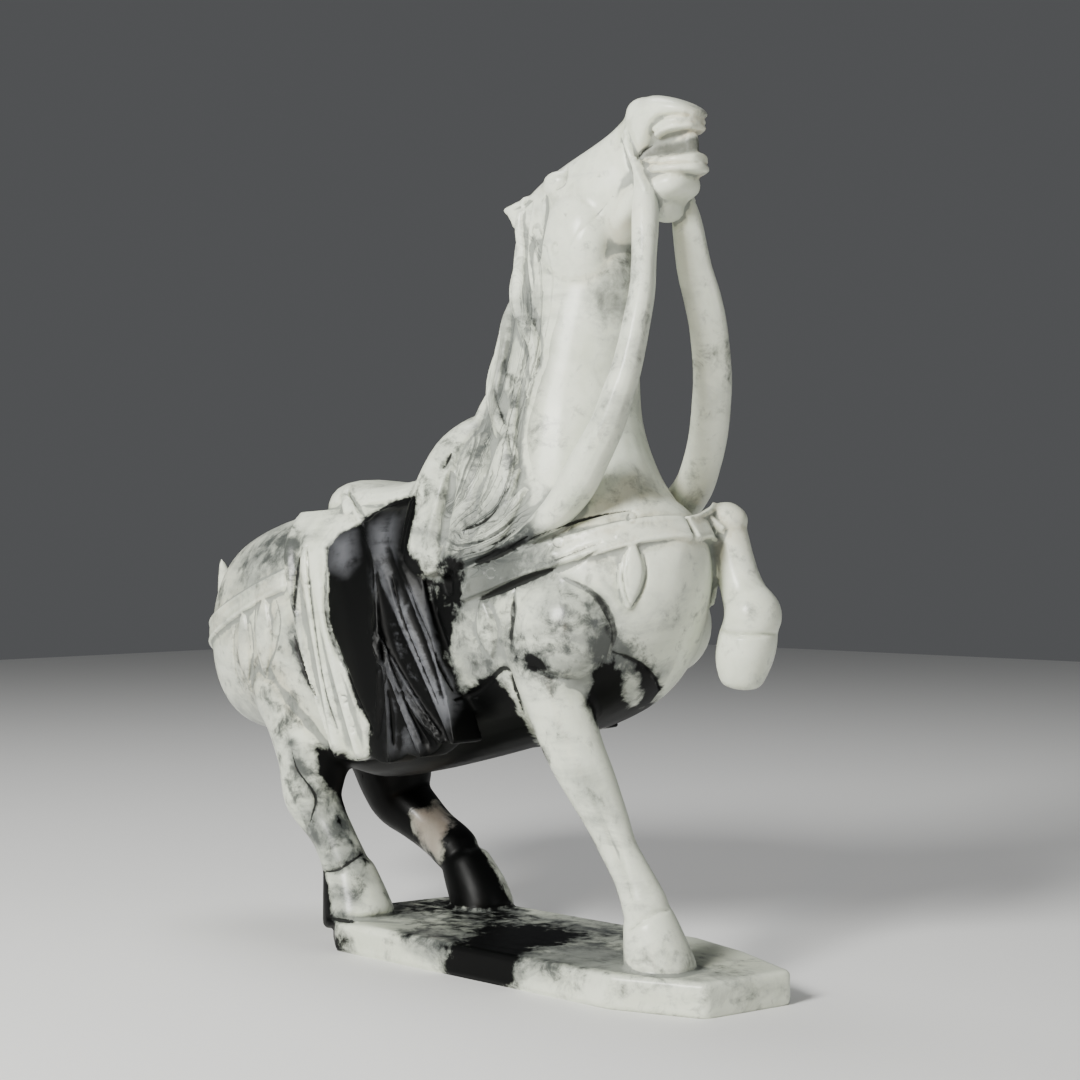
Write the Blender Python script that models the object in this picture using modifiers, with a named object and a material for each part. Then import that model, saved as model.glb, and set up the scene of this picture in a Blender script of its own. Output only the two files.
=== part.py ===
# A saddled horse with its head thrown up and one foreleg raised, cut with its plinth from one block of jade.
# +X is the way the horse faces, +Y its left side, Z up. The origin is the centre of the plinth's underside.
import math

import bmesh
import bpy
from mathutils import Vector
from mathutils.bvhtree import BVHTree

# Sizes, in metres
figure_height = 0.332  # plinth top to the top of the muzzle
plinth_thickness = 0.013
plinth_front_ledge = 0.0223  # plinth showing in front of the planted fore hoof
plinth_rear_ledge = 0.0005  # and behind the near hind hoof
plinth_side_ledge = 0.0035  # and beside the hooves
plinth_corner_cut = 0.014
plinth_edge_radius = 0.0022
coarse_grain = 0.0018  # edge of the cubes that the rough body is cut to
fine_grain = 0.0011  # and the finished carving
facet_budget = 9800

# The figure's rows of numbers are shares of its height, 332 of them, with the feet standing at 12
shares = 332.0
foot_level = 12.0
share = figure_height / shares


def at(x, y, z):
    """The place of a point given in shares of the figure's height."""
    return Vector((x, y, z - foot_level)) * share + Vector((0.0, 0.0, plinth_thickness))


def row_at(rows, t):
    """The rows as one smooth curve through all of them, read at t from 0 to 1."""
    span = min(max(t, 0.0), 1.0) * (len(rows) - 1)
    i = min(int(span), len(rows) - 2)
    f = span - i
    before = rows[max(i - 1, 0)]
    after = rows[min(i + 2, len(rows) - 1)]
    found = []
    for a, b, c, d in zip(before, rows[i], rows[i + 1], after):
        bend = (2 * a - 5 * b + 4 * c - d) * f * f + (3 * b - a - 3 * c + d) * f ** 3
        found.append(b + 0.5 * ((c - a) * f + bend))
    return found


def between(first, last, t):
    return first + (last - first) * t


def power(value, exponent):
    return math.copysign(abs(value) ** exponent, value)


def add_form(bm, form):
    """Adds a finished form to the stone."""
    mesh = bpy.data.meshes.new("form")
    form.to_mesh(mesh)
    form.free()
    bm.from_mesh(mesh)
    bpy.data.meshes.remove(mesh)


def sweep(bm, frame_at, sides=20, rings=24, cap=0.1, square=2.0):
    """A sphere pulled out along a spine. frame_at(t) gives the centre, and the side, out and back ways."""
    form = bmesh.new()
    bmesh.ops.create_uvsphere(form, u_segments=sides, v_segments=rings, radius=1.0)
    frames = [frame_at(i / rings) for i in range(rings + 1)]
    for v in form.verts:
        ring = round(rings * math.acos(min(max(v.co.z, -1.0), 1.0)) / math.pi)
        angle = math.atan2(v.co.y, v.co.x)
        centre, side, out, back = frames[ring]
        near_end = min(ring, rings - ring) / rings / cap
        swell = math.sqrt(1.0 - (1.0 - min(near_end, 1.0)) ** 2)
        across = power(math.cos(angle), 2.0 / square) * swell
        deep = power(math.sin(angle), 2.0 / square) * swell
        v.co = centre + side * across + (out * deep if deep > 0 else back * -deep)
    add_form(bm, form)


def profile(bm, rows, y=0.0, **options):
    """A form drawn from the side. A row is x, z of the upper edge, x, z of the lower and a half-width."""

    def frame_at(t):
        x1, z1, x2, z2, w = row_at(rows, t)
        upper = at(x1, y, z1)
        lower = at(x2, y, z2)
        half = (upper - lower) / 2
        return (upper + lower) / 2, Vector((0.0, max(w, 0.0) * share, 0.0)), half, -half

    sweep(bm, frame_at, **options)


def limb(bm, rows, flip=1.0, side=(0.0, 1.0, 0.0), **options):
    """A form along a spine. A row is x, y, z and a radius, or a half-width towards side and a half-depth."""

    def frame_at(t):
        here = row_at(rows, t)
        ahead = row_at(rows, min(t + 0.01, 1.0))
        behind = row_at(rows, max(t - 0.01, 0.0))
        run = Vector(ahead[:3]) - Vector(behind[:3])
        run.y *= flip
        run.normalize()
        out = run.cross(Vector((side[0], side[1] * flip, side[2]))).normalized()
        broad = out.cross(run).normalized()
        w = max(here[3], 0.0) * share
        d = max(here[-1], 0.0) * share
        return at(here[0], here[1] * flip, here[2]), broad * w, out * d, out * -d

    sweep(bm, frame_at, **options)


def ball(bm, centre, radii, turn=None):
    form = bmesh.new()
    bmesh.ops.create_uvsphere(form, u_segments=20, v_segments=14, radius=1.0)
    for v in form.verts:
        local = Vector([v.co[i] * radii[i] * share for i in range(3)])
        v.co = centre + (turn @ local if turn else local)
    add_form(bm, form)


# The masses of the horse, from the side: upper x, z, lower x, z, half-width
torso = [
    (-209, 145, -208.5, 126, 4),
    (-203.5, 154.5, -204.5, 110, 13.5),
    (-194, 164.8, -198, 97.5, 22),
    (-178, 174.5, -182, 86.5, 32),
    (-152, 182.2, -153, 83, 40.5),
    (-125, 187, -125, 77, 44.5),
    (-98, 190, -98, 69, 44.5),
    (-70, 192, -70, 73, 44),
    (-40, 194, -40, 80, 43.5),
    (-10, 196, -10, 88, 43),
    (20, 196, 20, 96, 41.5),
    (42, 193, 42, 105.5, 37.5),
    (57, 188, 56, 118, 29),
    (66.5, 180, 65.5, 135.5, 19),
    (73.5, 171, 72.5, 154, 8.5),
]
neck = [
    (-60, 150, 62, 150, 36),
    (-54, 176, 62, 178, 38),
    (-42, 198, 48, 197, 34),
    (-29.5, 222, 40, 217, 28),
    (-22, 245, 39, 240, 24),
    (-16, 266, 40, 264, 20),
    (-13, 286, 39, 284, 16.4),
    (-11, 302, 26, 300, 13.5),
]
skull = [
    (-13, 303, -11, 291, 8),
    (-8.5, 311, -5, 284, 13),
    (2.5, 318, 6, 279.5, 16),
    (14, 323.2, 18, 275, 16.6),
    (26, 328.2, 31, 277, 15),
    (34, 332, 42, 289.5, 12.4),
    (40.5, 336.8, 50, 300, 9.8),
    (46, 341.4, 53, 311, 9.9),
    (53.5, 343, 56, 322.5, 11),
    (61, 341.6, 62, 329.8, 11.3),
    (69.5, 338.4, 70, 331.6, 10.2),
    (76.5, 333.8, 76, 331.4, 6.5),
]
lower_jaw = [
    (30, 302, 33, 284, 9),
    (42, 308, 45, 294, 10.5),
    (52, 312, 55, 300.5, 11),
    (61, 312, 62, 301.5, 11),
    (67.5, 312, 68, 303, 9.4),
    (71.5, 310, 71.5, 306, 5.6),
]
lower_lip = [
    (51, 315, 52, 310.5, 9.4),
    (60, 314.4, 60, 310.6, 10.8),
    (69, 314.2, 69, 310.6, 9.6),
    (77.5, 313.8, 77.5, 311, 4),
]
lower_teeth = [
    (53, 319, 54, 311, 9.0),
    (62, 319, 62, 311, 9.8),
    (69.5, 318.6, 69.5, 311, 8.6),
    (76.5, 318.4, 76.5, 311, 4),
]
upper_teeth = [
    (58, 329, 59, 324.6, 8.4),
    (64, 331.5, 64, 326, 9.8),
    (70, 332, 70, 326.8, 8.8),
    (75, 331.5, 75, 327.4, 4.5),
]
tongue = [
    (44, 326, 44, 313, 7.5),
    (56, 328, 56, 314, 5),
    (66, 328.5, 66, 315, 4.2),
    (74.5, 328, 74.5, 316, 3),
]

# Limbs as spines: x, y, z and radius, or half-width and half-depth
near_fore = [
    (18, -26, 150, 21),
    (22.5, -28, 128, 15.8),
    (28.8, -28, 109, 12.9),
    (35.2, -27, 93, 11.6),
    (42, -26, 81, 10.5),
    (48.7, -23.5, 67, 8.6),
    (53.4, -22, 56, 7.4),
    (58.4, -21, 48, 7.4),
    (62, -20, 41, 8.1),
    (65, -19.5, 34.5, 9),
    (66, -19, 29, 8.6),
]
near_fore_hoof = [(65, -19, 34, 8.8), (67.3, -18.5, 25, 11), (69.5, -17.5, 15, 13), (71, -17, 8, 14.2)]
far_fore_arm = [
    (28, 20, 158, 19),
    (44, 24, 167, 12.6),
    (55, 26, 172.3, 9.7),
    (63, 27, 177.5, 8.6),
    (67.5, 27, 179, 8),
    (69.5, 27, 175.5, 7.4),
]
far_fore_cannon = [
    (66.5, 27, 180.5, 7),
    (68.4, 27, 173, 7.4),
    (72, 27, 160, 8),
    (75.5, 27, 151, 9),
    (79.6, 27, 143.5, 11.4),
    (79, 27, 140, 10.6),
]
far_fore_hoof = [(78.6, 27, 141, 9.8), (77.4, 27, 134, 11.3), (75, 27, 124, 10.7), (73.8, 27, 113.5, 7)]
near_hind = [
    (-142, -19, 120, 26),
    (-126.5, -23, 98, 20.2),
    (-119, -26, 80, 16.6),
    (-118.6, -27, 68, 14),
    (-117.8, -27, 60, 12.6),
    (-112.8, -26, 52, 10.5),
    (-107, -25.5, 45, 9.4),
    (-102, -24.5, 36, 9.8),
    (-99, -24, 30, 10.8),
]
near_hind_hoof = [(-100, -24, 34, 10.2), (-97, -23.5, 25, 12.4), (-94.5, -23, 16, 14.4), (-92, -23, 8, 16)]
far_hind = [
    (-146, 19, 120, 28),
    (-138, 23, 98, 25),
    (-128.5, 26, 79, 20.5),
    (-123.5, 26.5, 62, 16.6),
    (-120, 27, 54.5, 14.2),
    (-110.5, 27.5, 48.5, 12),
    (-99.5, 28, 42, 10.4),
    (-88, 28, 36, 10.6),
    (-81, 28, 30, 11),
]
far_hind_hoof = [(-82, 28, 33, 10.2), (-76, 28, 24, 12), (-71, 28, 16, 13.2), (-68.5, 28, 8, 14.6)]
dock = [(-219, 0, 165, 0.5), (-216, 0, 156, 3.2), (-212, 0, 146, 5.6), (-209, 0, 132, 5), (-206, 0, 120, 4)]
rein_side = (0.707, -0.707, 0.0)  # the reins' broad way, forwards and outwards
rein = [
    (52, -11, 319, 1.1, 1.5),
    (56, -11.2, 309, 3.0, 3.2),
    (58.6, -12.2, 297, 5.7, 5.2),
    (60.3, -15, 278, 6.9, 4.8),
    (62, -18, 266, 7.4, 5),
    (62.3, -21.5, 254, 7.5, 5.3),
    (61, -25.5, 237, 7.7, 5.7),
    (58.5, -28, 226, 7.8, 6.2),
    (55, -30.5, 214, 7.8, 6.6),
    (50, -33, 203.5, 7.8, 7.2),
    (44, -34.5, 193, 8, 7.5),
    (35, -34.5, 184, 8.5, 6.5),
    (24, -34.5, 177, 8.5, 5),
    (12, -34.5, 171, 7.5, 3.5),
    (2, -34, 166, 5, 2),
]
saddle_seat = [
    (-124, 187, -122, 170, 8),
    (-119, 195, -117, 168, 18),
    (-108, 198.4, -108, 168, 26),
    (-92, 197.2, -92, 170, 28.5),
    (-72, 197, -72, 172, 29),
    (-52, 201, -52, 174, 27),
    (-34, 206, -34, 180, 22),
]
pommel = [
    (-31, -44.5, 157, 9.5, 2.5),
    (-30, -44, 172, 12, 4.5),
    (-27.5, -39.5, 190, 12, 7.5),
    (-26, -28, 206, 12, 9.5),
    (-24.5, -13, 214.5, 11.5, 9.5),
    (-24.5, 0, 216.5, 11, 9.5),
]
halter = [
    (45, -10.5, 331, 0.9, 1),
    (49, -11.5, 322, 1.5, 1.8),
    (53, -11, 313, 1.7, 2.2),
    (57, -9.5, 303, 1.8, 2.4),
]
pommel_skirt = [
    (-15, -18, 212, 12, 9),
    (-14, -28, 200, 12.5, 10),
    (-14, -34.5, 186, 11, 8),
    (-16, -38.5, 171, 10, 5.5),
    (-22, -42.5, 157, 8, 3.5),
]
saddle_lip = [(-102, -19, 195, 2), (-98, -25, 191.5, 2.4), (-91, -30.5, 185, 2.4), (-79, -35, 176, 1.2)]
ear = [
    (-1, 9.5, 303, 3.2, 7.6),
    (-8, 10.5, 303, 3, 7),
    (-11, 11, 304, 2.5, 4.8),
    (-14, 11, 305, 1.8, 2.5),
    (-18, 11, 305.8, 0.6, 0.7),
]

# Straps and hanging leaves, as routes near the surface that they are laid on
breast_strap = [
    (-10, -46, 154),
    (12, -46, 161),
    (34, -43, 168),
    (52, -37, 174),
    (66, -22, 178),
    (75, 0, 180),
]
breast_band = (5.4, 2.4, 1.2)  # half-width, half-thickness and the half-width of its rims
crupper_strap = [(-207, 0, 119), (-200, -18, 127), (-178, -34, 135), (-150, -44, 145), (-118, -47, 157)]
crupper_band = (4.2, 1.9, 1.1)
tack_leaves = [  # top, tip and half-width
    ((-148, -43, 140), (-149, -43, 104), 5.4),
    ((-131, -45, 147), (-131, -45, 113), 6.4),
    ((63, -24, 171), (60, -24, 146), 5.2),
    ((2, -44, 149), (6, -44, 126), 5.2),
]
strap_studs = [(10, -46, 159), (36, -43, 168), (61, -30, 176)]
stud_radius = 3.0
stud_height = 2.9
rim_rise = 0.6  # how much higher than its strap a rim stands


# Round masses: centre on the left side, and half-sizes along x, y and z
chin_web = ((58, 0, 300), (5.5, 11, 6.5))
muzzle_hump = ((48.6, 0, 336.2), (6.9, 9.5, 7.2))
eye = ((13.5, 12.8, 313), (7, 4.6, 4.6))
cheek = ((21, 10.8, 289), (16, 10, 20))
shoulder = ((33, 30, 138), (20.5, 16.5, 20.5))


def rough_body(bm):
    """Torso, neck, head and legs without tack or hair."""
    profile(bm, torso, sides=36, rings=60, cap=0.03, square=2.2)
    profile(bm, neck, sides=32, rings=36, cap=0.04)
    profile(bm, skull, sides=28, rings=48, cap=0.06, square=2.2)
    profile(bm, lower_jaw, sides=24, rings=24, cap=0.1, square=3.0)
    profile(bm, tongue, sides=16, rings=16, cap=0.15)
    for centre, radii in (chin_web, muzzle_hump):
        ball(bm, at(*centre), radii)
    for flip in (1.0, -1.0):
        for (x, y, z), radii in (eye, cheek, shoulder):
            ball(bm, at(x, y * flip, z), radii)
    limb(bm, near_fore, rings=40)
    limb(bm, far_fore_arm, rings=24)
    limb(bm, far_fore_cannon, rings=24)
    limb(bm, near_hind, rings=36)
    limb(bm, far_hind, rings=36)
    for rows in (near_fore_hoof, far_fore_hoof, near_hind_hoof, far_hind_hoof):
        limb(bm, rows, sides=24, rings=16, cap=0.12, square=2.15)
    limb(bm, dock, rings=20)


def cut_from_block(name, bm, grain, smoothing):
    """All shapes of bm as one skin: cut to small cubes, then rubbed smooth."""
    mesh = bpy.data.meshes.new(name)
    bm.to_mesh(mesh)
    bm.free()
    obj = bpy.data.objects.new(name, mesh)
    bpy.context.scene.collection.objects.link(obj)
    cut = obj.modifiers.new("cut", "REMESH")
    cut.mode = "VOXEL"
    cut.voxel_size = grain
    rub = obj.modifiers.new("rub", "SMOOTH")
    rub.factor = 0.5
    rub.iterations = smoothing
    graph = bpy.context.evaluated_depsgraph_get()
    made = bpy.data.meshes.new_from_object(obj.evaluated_get(graph))
    bpy.data.objects.remove(obj)
    bpy.data.meshes.remove(mesh)
    return made


def surface_of(mesh):
    """The body's surface, on which tack and hair are laid."""
    bm = bmesh.new()
    bm.from_mesh(mesh)
    tree = BVHTree.FromBMesh(bm)
    bm.free()
    return tree


def laid(bm, skin, rows, flip=1.0, lift=0.0, **options):
    """A strip laid on the body. A row is x, y, z near the surface, a half-width and a half-thickness."""
    knots = []
    steps = 4 * (len(rows) - 1)
    for i in range(steps + 1):
        x, y, z, w, d = row_at(rows, i / steps)
        place, normal = skin.find_nearest(at(x, y * flip, z))[:2]
        place = place + normal * lift * share
        knots.append([*place, *normal, max(w, 0.0) * share, max(d, 0.0) * share])
    for _ in range(2):
        threes = zip(knots, knots[1:], knots[2:])
        knots[1:-1] = [[(a + 2 * b + c) / 4 for a, b, c in zip(*three)] for three in threes]

    def frame_at(t):
        here = row_at(knots, t)
        run = Vector(row_at(knots, min(t + 0.02, 1.0))[:3]) - Vector(row_at(knots, max(t - 0.02, 0.0))[:3])
        out = Vector(here[3:6]).normalized()
        side = run.cross(out).normalized()
        return Vector(here[:3]), side * here[6], out * here[7], out * -here[7]

    sweep(bm, frame_at, **options)


def strap(bm, skin, route, half_width, thickness, rim_width):
    """A band on both sides of the body, with a raised edge along each rim."""
    for flip in (1.0, -1.0):
        band = [(*p, half_width, thickness) for p in route]
        laid(bm, skin, band, flip, rings=48, sides=12, cap=0.01, square=4.0)
        for rim in (-1, 1):
            rope = [(x, y, z + rim * half_width, rim_width, thickness + rim_rise) for x, y, z in route]
            laid(bm, skin, rope, flip, rings=48, sides=10, cap=0.02)


def leaf(bm, skin, top, tip, half_width, flip):
    middle = [(a + b) / 2 for a, b in zip(top, tip)]
    rows = [(*top, 1.2, 1.4), (*middle, half_width, 2.0), (*tip, 0.5, 1.4)]
    laid(bm, skin, rows, flip, lift=0.5, rings=24, sides=16, cap=0.08, square=2.5)


def stud(bm, skin, x, y, z, flip):
    place, normal = skin.find_nearest(at(x, y * flip, z))[:2]
    ball(bm, place, (stud_radius, stud_radius, stud_height), normal.to_track_quat("Z", "Y"))


def neck_at(height, turn):
    """A point of the neck's skin: height from 0, the root, to 1, turn from 0, the crest, to pi."""
    x1, z1, x2, z2, w = row_at(neck, height)
    middle_x = (x1 + x2) / 2
    middle_z = (z1 + z2) / 2
    x = middle_x + (x1 - middle_x) * math.cos(turn)
    return x, -w * math.sin(turn), middle_z + (z1 - middle_z) * math.cos(turn)


# Hair, with heights up the neck as shares of it
forelock = [
    (-4, -12, 310, 1.2, 1.5),
    (-6, -15, 296, 2.6, 2.6),
    (-6, -18, 280, 2.8, 2.6),
    (-5, -20, 262, 1.5, 1.2),
]
crest_locks = 9
crest_lock_tops = (0.97, 0.35)  # the first and the last
crest_lock_fall = 0.36  # how far down the neck each hangs
crest_lock_wave = 0.13
sweeping_locks = 6
sweeping_lock_roots = (0.52, 0.245)
sweeping_lock_ends = ((-5, -46, 186), (-10, -46, 165))


def mane(bm, skin):
    """A ridge along the crest, wavy locks down both sides, and long locks swept back to the saddle."""
    crest = [neck_at(0.14 + 0.84 * i / 8, 0.0) for i in range(9)]
    limb(bm, [(p[0] + 3, 0, p[2], 5.5, 5) for p in crest], rings=40, sides=16)
    for flip in (1.0, -1.0):
        laid(bm, skin, forelock, flip, lift=0.8, rings=24, sides=10, cap=0.06)
        for i in range(crest_locks):
            top = between(*crest_lock_tops, i / (crest_locks - 1))
            rows = []
            for k in range(6):
                fall = k / 5
                wave = crest_lock_wave * math.sin(2.3 * math.pi * fall + 1.9 * i)
                turn = 0.1 + (1.25 + 0.35 * math.sin(2.1 * i)) * math.sin(1.45 * fall) + wave
                p = neck_at(top - crest_lock_fall * fall, turn)
                body = math.sin(math.pi * (0.1 + 0.88 * fall))
                rows.append((*p, 1.0 + 3.2 * body, 0.4 + 3.6 * body))
            laid(bm, skin, rows, flip, lift=0.5, rings=24, sides=10, cap=0.06)
        for i in range(sweeping_locks):
            down = i / (sweeping_locks - 1)
            start = neck_at(between(*sweeping_lock_roots, down), 1.5 + 0.35 * down)
            end = [between(a, b, down) for a, b in zip(*sweeping_lock_ends)]
            middle = ((start[0] + end[0]) / 2 + 4, -44, (start[2] + end[2]) / 2 - 3)
            rows = [(*start, 1, 0.6), (*middle, 4.2, 3.2), (*end, 1.8, 1.6)]
            laid(bm, skin, rows, flip, lift=1.2, rings=24, sides=10, cap=0.06)


# Folds of the saddle cloth: place across it (0 rear, 1 front) at its top, middle and hem, half-width,
# height, and how far down it the fold starts
cloth_folds = [
    (0.06, 0.01, -0.03, 0.036, 4.6, 0.0),
    (0.20, 0.14, 0.06, 0.044, 4.6, 0.0),
    (0.29, 0.22, 0.22, 0.026, 3.0, 0.2),
    (0.47, 0.42, 0.36, 0.100, 1.0, 0.0),
    (0.60, 0.64, 0.47, 0.024, 3.4, 0.35),
    (0.62, 0.62, 0.72, 0.022, 4.4, 0.5),
    (0.60, 0.61, 0.87, 0.022, 4.8, 0.5),
    (0.64, 0.83, 0.97, 0.046, 4.6, 0.0),
    (0.78, 0.96, 1.02, 0.036, 4.2, 0.0),
]
cloth_rear = ((-122, 184), (-85, 84))  # its rear edge, top and hem, as x, z
cloth_front = ((-40, 188), (-8, 96))


def fold_height(u, v):
    """How far the folds stand out at u across the cloth and v down it."""
    height = 0.0
    for top, middle, hem, half_width, tall, start in cloth_folds:
        place = top * (1 - v) * (1 - 2 * v) + middle * 4 * v * (1 - v) + hem * v * (2 * v - 1)
        begun = min(max((v - start) * 5.0 + 0.4, 0.0), 1.0)
        height += tall * begun * math.exp(-(((u - place) / half_width) ** 2))
    return height


def cloth_point(u, v, lift):
    rear_x, rear_z = [between(a, b, v) for a, b in zip(*cloth_rear)]
    front_x, front_z = [between(a, b, v) for a, b in zip(*cloth_front)]
    x = between(rear_x, front_x, u)
    hem = 3.0 * abs(math.sin(3.5 * math.pi * u)) * v ** 4
    z = between(rear_z, front_z, u) - hem - 5.0 * math.sin(math.pi * u) * v
    half_width = row_at(torso, (x - torso[0][0]) / (torso[-1][0] - torso[0][0]))[4]
    lean = 45.5 - 4.0 * v ** 3
    above = max(0.0, (z - 150) / 42)
    y = min(half_width + 1.5, lean) * (1.0 - min(above, 1.0) ** 3) ** 0.5
    return x, -(y + lift * (1.2 + fold_height(u, v) * (0.4 + 0.6 * v))), z


def saddle_cloth(bm, flip):
    """A thick sheet over the barrel, its outer face in folds and its inner face inside the body."""
    form = bmesh.new()
    bmesh.ops.create_grid(form, x_segments=64, y_segments=28, size=1.0)
    outer = {v: ((v.co.x + 1) / 2, (1 - v.co.y) / 2) for v in form.verts}
    grown = bmesh.ops.extrude_face_region(form, geom=form.faces[:])["geom"]
    inner = {v: ((v.co.x + 1) / 2, (1 - v.co.y) / 2) for v in grown if isinstance(v, bmesh.types.BMVert)}
    for group, lift, sink in ((outer, 1.0, 0.0), (inner, 0.0, 9.0)):
        for v, (u, fall) in group.items():
            x, y, z = cloth_point(u, fall, lift)
            v.co = at(x, (y + sink) * flip, z)
    add_form(bm, form)


def pommel_arch(bm):
    """The saddle's front, an arch from one side of the withers to the other."""
    arch = pommel + [(x, -y, z, w, d) for x, y, z, w, d in reversed(pommel[:-1])]

    def frame_at(t):
        x, y, z, w, d = row_at(arch, t)
        ahead = Vector(row_at(arch, min(t + 0.01, 1.0))[:3])
        run = ahead - Vector(row_at(arch, max(t - 0.01, 0.0))[:3])
        side = Vector((1.0, 0.0, 0.0))
        out = side.cross(run).normalized()
        return at(x, y, z), side * w * share, out * d * share, out * -d * share

    sweep(bm, frame_at, rings=48, cap=0.06)


def tack(bm, skin):
    """Saddle, cloth, straps, hanging leaves, halter and reins."""
    profile(bm, saddle_seat, sides=24, rings=36, cap=0.08, square=2.6)
    pommel_arch(bm)
    for flip in (1.0, -1.0):
        limb(bm, pommel_skirt, flip=flip, side=(1.0, 0.0, 0.0), rings=24, cap=0.12)
        limb(bm, saddle_lip, flip=flip, rings=24, sides=12, cap=0.1)
    for flip in (1.0, -1.0):
        saddle_cloth(bm, flip)
        limb(bm, rein, flip=flip, side=rein_side, rings=56, sides=16, cap=0.04)
        laid(bm, skin, halter, flip, rings=24, sides=10, cap=0.05)
        for top, tip, half_width in tack_leaves:
            leaf(bm, skin, top, tip, half_width, flip)
        for place in strap_studs:
            stud(bm, skin, *place, flip)
    strap(bm, skin, breast_strap, *breast_band)
    strap(bm, skin, crupper_strap, *crupper_band)


def head_details(bm):
    """Lips, teeth and ears."""
    profile(bm, lower_lip, sides=28, rings=24, cap=0.1, square=3.0)
    profile(bm, lower_teeth, sides=28, rings=24, cap=0.08, square=4.0)
    profile(bm, upper_teeth, sides=28, rings=24, cap=0.08, square=4.0)
    for flip in (1.0, -1.0):
        limb(bm, ear, flip=flip, rings=16, sides=14, cap=0.1)


def plinth(bm):
    """A long slab with cut corners under the hooves, its edges rounded over."""
    front = (near_fore_hoof[-1][0] + near_fore_hoof[-1][3]) * share + plinth_front_ledge
    rear = (near_hind_hoof[-1][0] - near_hind_hoof[-1][3]) * share - plinth_rear_ledge
    near = (near_hind_hoof[-1][1] - 12.0) * share - plinth_side_ledge
    far = (far_hind_hoof[-1][1] + 8.0) * share + plinth_side_ledge
    cut = plinth_corner_cut
    outline = [
        (rear + 1.3 * cut, near),
        (front - 3.2 * cut, near),
        (front - 0.6 * cut, near + 0.9 * cut),
        (front, near + 3.8 * cut),
        (front - 2.5 * cut, far - 0.6 * cut),
        (front - 4.6 * cut, far),
        (rear + 2.4 * cut, far),
        (rear + 0.7 * cut, far - 0.4 * cut),
        (rear, near + 2.2 * cut),
        (rear + 0.15 * cut, near + 0.9 * cut),
    ]
    form = bmesh.new()
    face = form.faces.new([form.verts.new((x, y, 0.0)) for x, y in outline])
    top = bmesh.ops.extrude_face_region(form, geom=[face])["geom"]
    rise = Vector((0.0, 0.0, plinth_thickness))
    bmesh.ops.translate(form, verts=[v for v in top if isinstance(v, bmesh.types.BMVert)], vec=rise)
    bmesh.ops.recalc_face_normals(form, faces=form.faces[:])
    edges = form.edges[:]
    bmesh.ops.bevel(form, geom=edges, offset=plinth_edge_radius, segments=3, profile=0.5, affect="EDGES")
    add_form(bm, form)


def largest_shell(bm):
    """Drops any small closed skin that the cutting left inside the stone."""
    left = set(bm.verts)
    shells = []
    while left:
        start = left.pop()
        shell = [start]
        for v in shell:
            for e in v.link_edges:
                other = e.other_vert(v)
                if other in left:
                    left.discard(other)
                    shell.append(other)
        shells.append(shell)
    keep = max(shells, key=len)
    drop = [v for shell in shells if shell is not keep for v in shell]
    bmesh.ops.delete(bm, geom=drop, context="VERTS")


def jade():
    material = bpy.data.materials.new("pale_jade")
    material.use_nodes = True
    shader = material.node_tree.nodes["Principled BSDF"]
    shader.inputs["Base Color"].default_value = (0.66, 0.68, 0.62, 1.0)
    shader.inputs["Roughness"].default_value = 0.18
    shader.inputs["Metallic"].default_value = 0.0
    return material


def carve():
    bm = bmesh.new()
    rough_body(bm)
    body = cut_from_block("rough_body", bm, coarse_grain, 6)
    skin = surface_of(body)

    bm = bmesh.new()
    bm.from_mesh(body)
    bpy.data.meshes.remove(body)
    plinth(bm)
    head_details(bm)
    tack(bm, skin)
    mane(bm, skin)
    mesh = cut_from_block("horse_carving", bm, fine_grain, 2)

    bm = bmesh.new()
    bm.from_mesh(mesh)
    largest_shell(bm)
    for v in bm.verts:
        if v.co.z < fine_grain:
            v.co.z = 0.0
    facets = 2 * len(bm.faces)
    bm.to_mesh(mesh)
    bm.free()
    mesh.materials.append(jade())
    horse = bpy.data.objects.new("horse_carving", mesh)
    facet = horse.modifiers.new("facet", "DECIMATE")
    facet.ratio = facet_budget / facets
    parts = bpy.data.collections.new("jade_horse_carving")
    bpy.context.scene.collection.children.link(parts)
    parts.objects.link(horse)


for old in list(bpy.data.objects):
    bpy.data.objects.remove(old)
carve()
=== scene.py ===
# Looks of the jade horse carving: the CAD solid's forms cut finer, with hair, folds, teeth and grooves,
# in polished stone with black patches and veins. Lengths are metres, and the figure's rows are shares
# of its height.
import math

import bmesh
import bpy
import numpy as np
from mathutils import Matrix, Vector
from mathutils.bvhtree import BVHTree


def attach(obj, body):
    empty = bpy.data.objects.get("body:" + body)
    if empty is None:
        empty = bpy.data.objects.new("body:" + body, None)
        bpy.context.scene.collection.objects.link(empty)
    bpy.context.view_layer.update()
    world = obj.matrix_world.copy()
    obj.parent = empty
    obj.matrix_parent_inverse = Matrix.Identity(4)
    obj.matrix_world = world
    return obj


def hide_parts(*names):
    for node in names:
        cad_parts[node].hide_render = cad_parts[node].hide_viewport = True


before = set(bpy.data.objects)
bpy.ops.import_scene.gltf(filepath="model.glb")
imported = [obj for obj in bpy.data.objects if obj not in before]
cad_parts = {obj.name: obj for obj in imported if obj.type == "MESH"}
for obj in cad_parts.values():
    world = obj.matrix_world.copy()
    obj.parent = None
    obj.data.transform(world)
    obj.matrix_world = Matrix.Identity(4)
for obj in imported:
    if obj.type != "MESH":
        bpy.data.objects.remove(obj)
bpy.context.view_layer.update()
bpy.ops.object.select_all(action="DESELECT")

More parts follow.
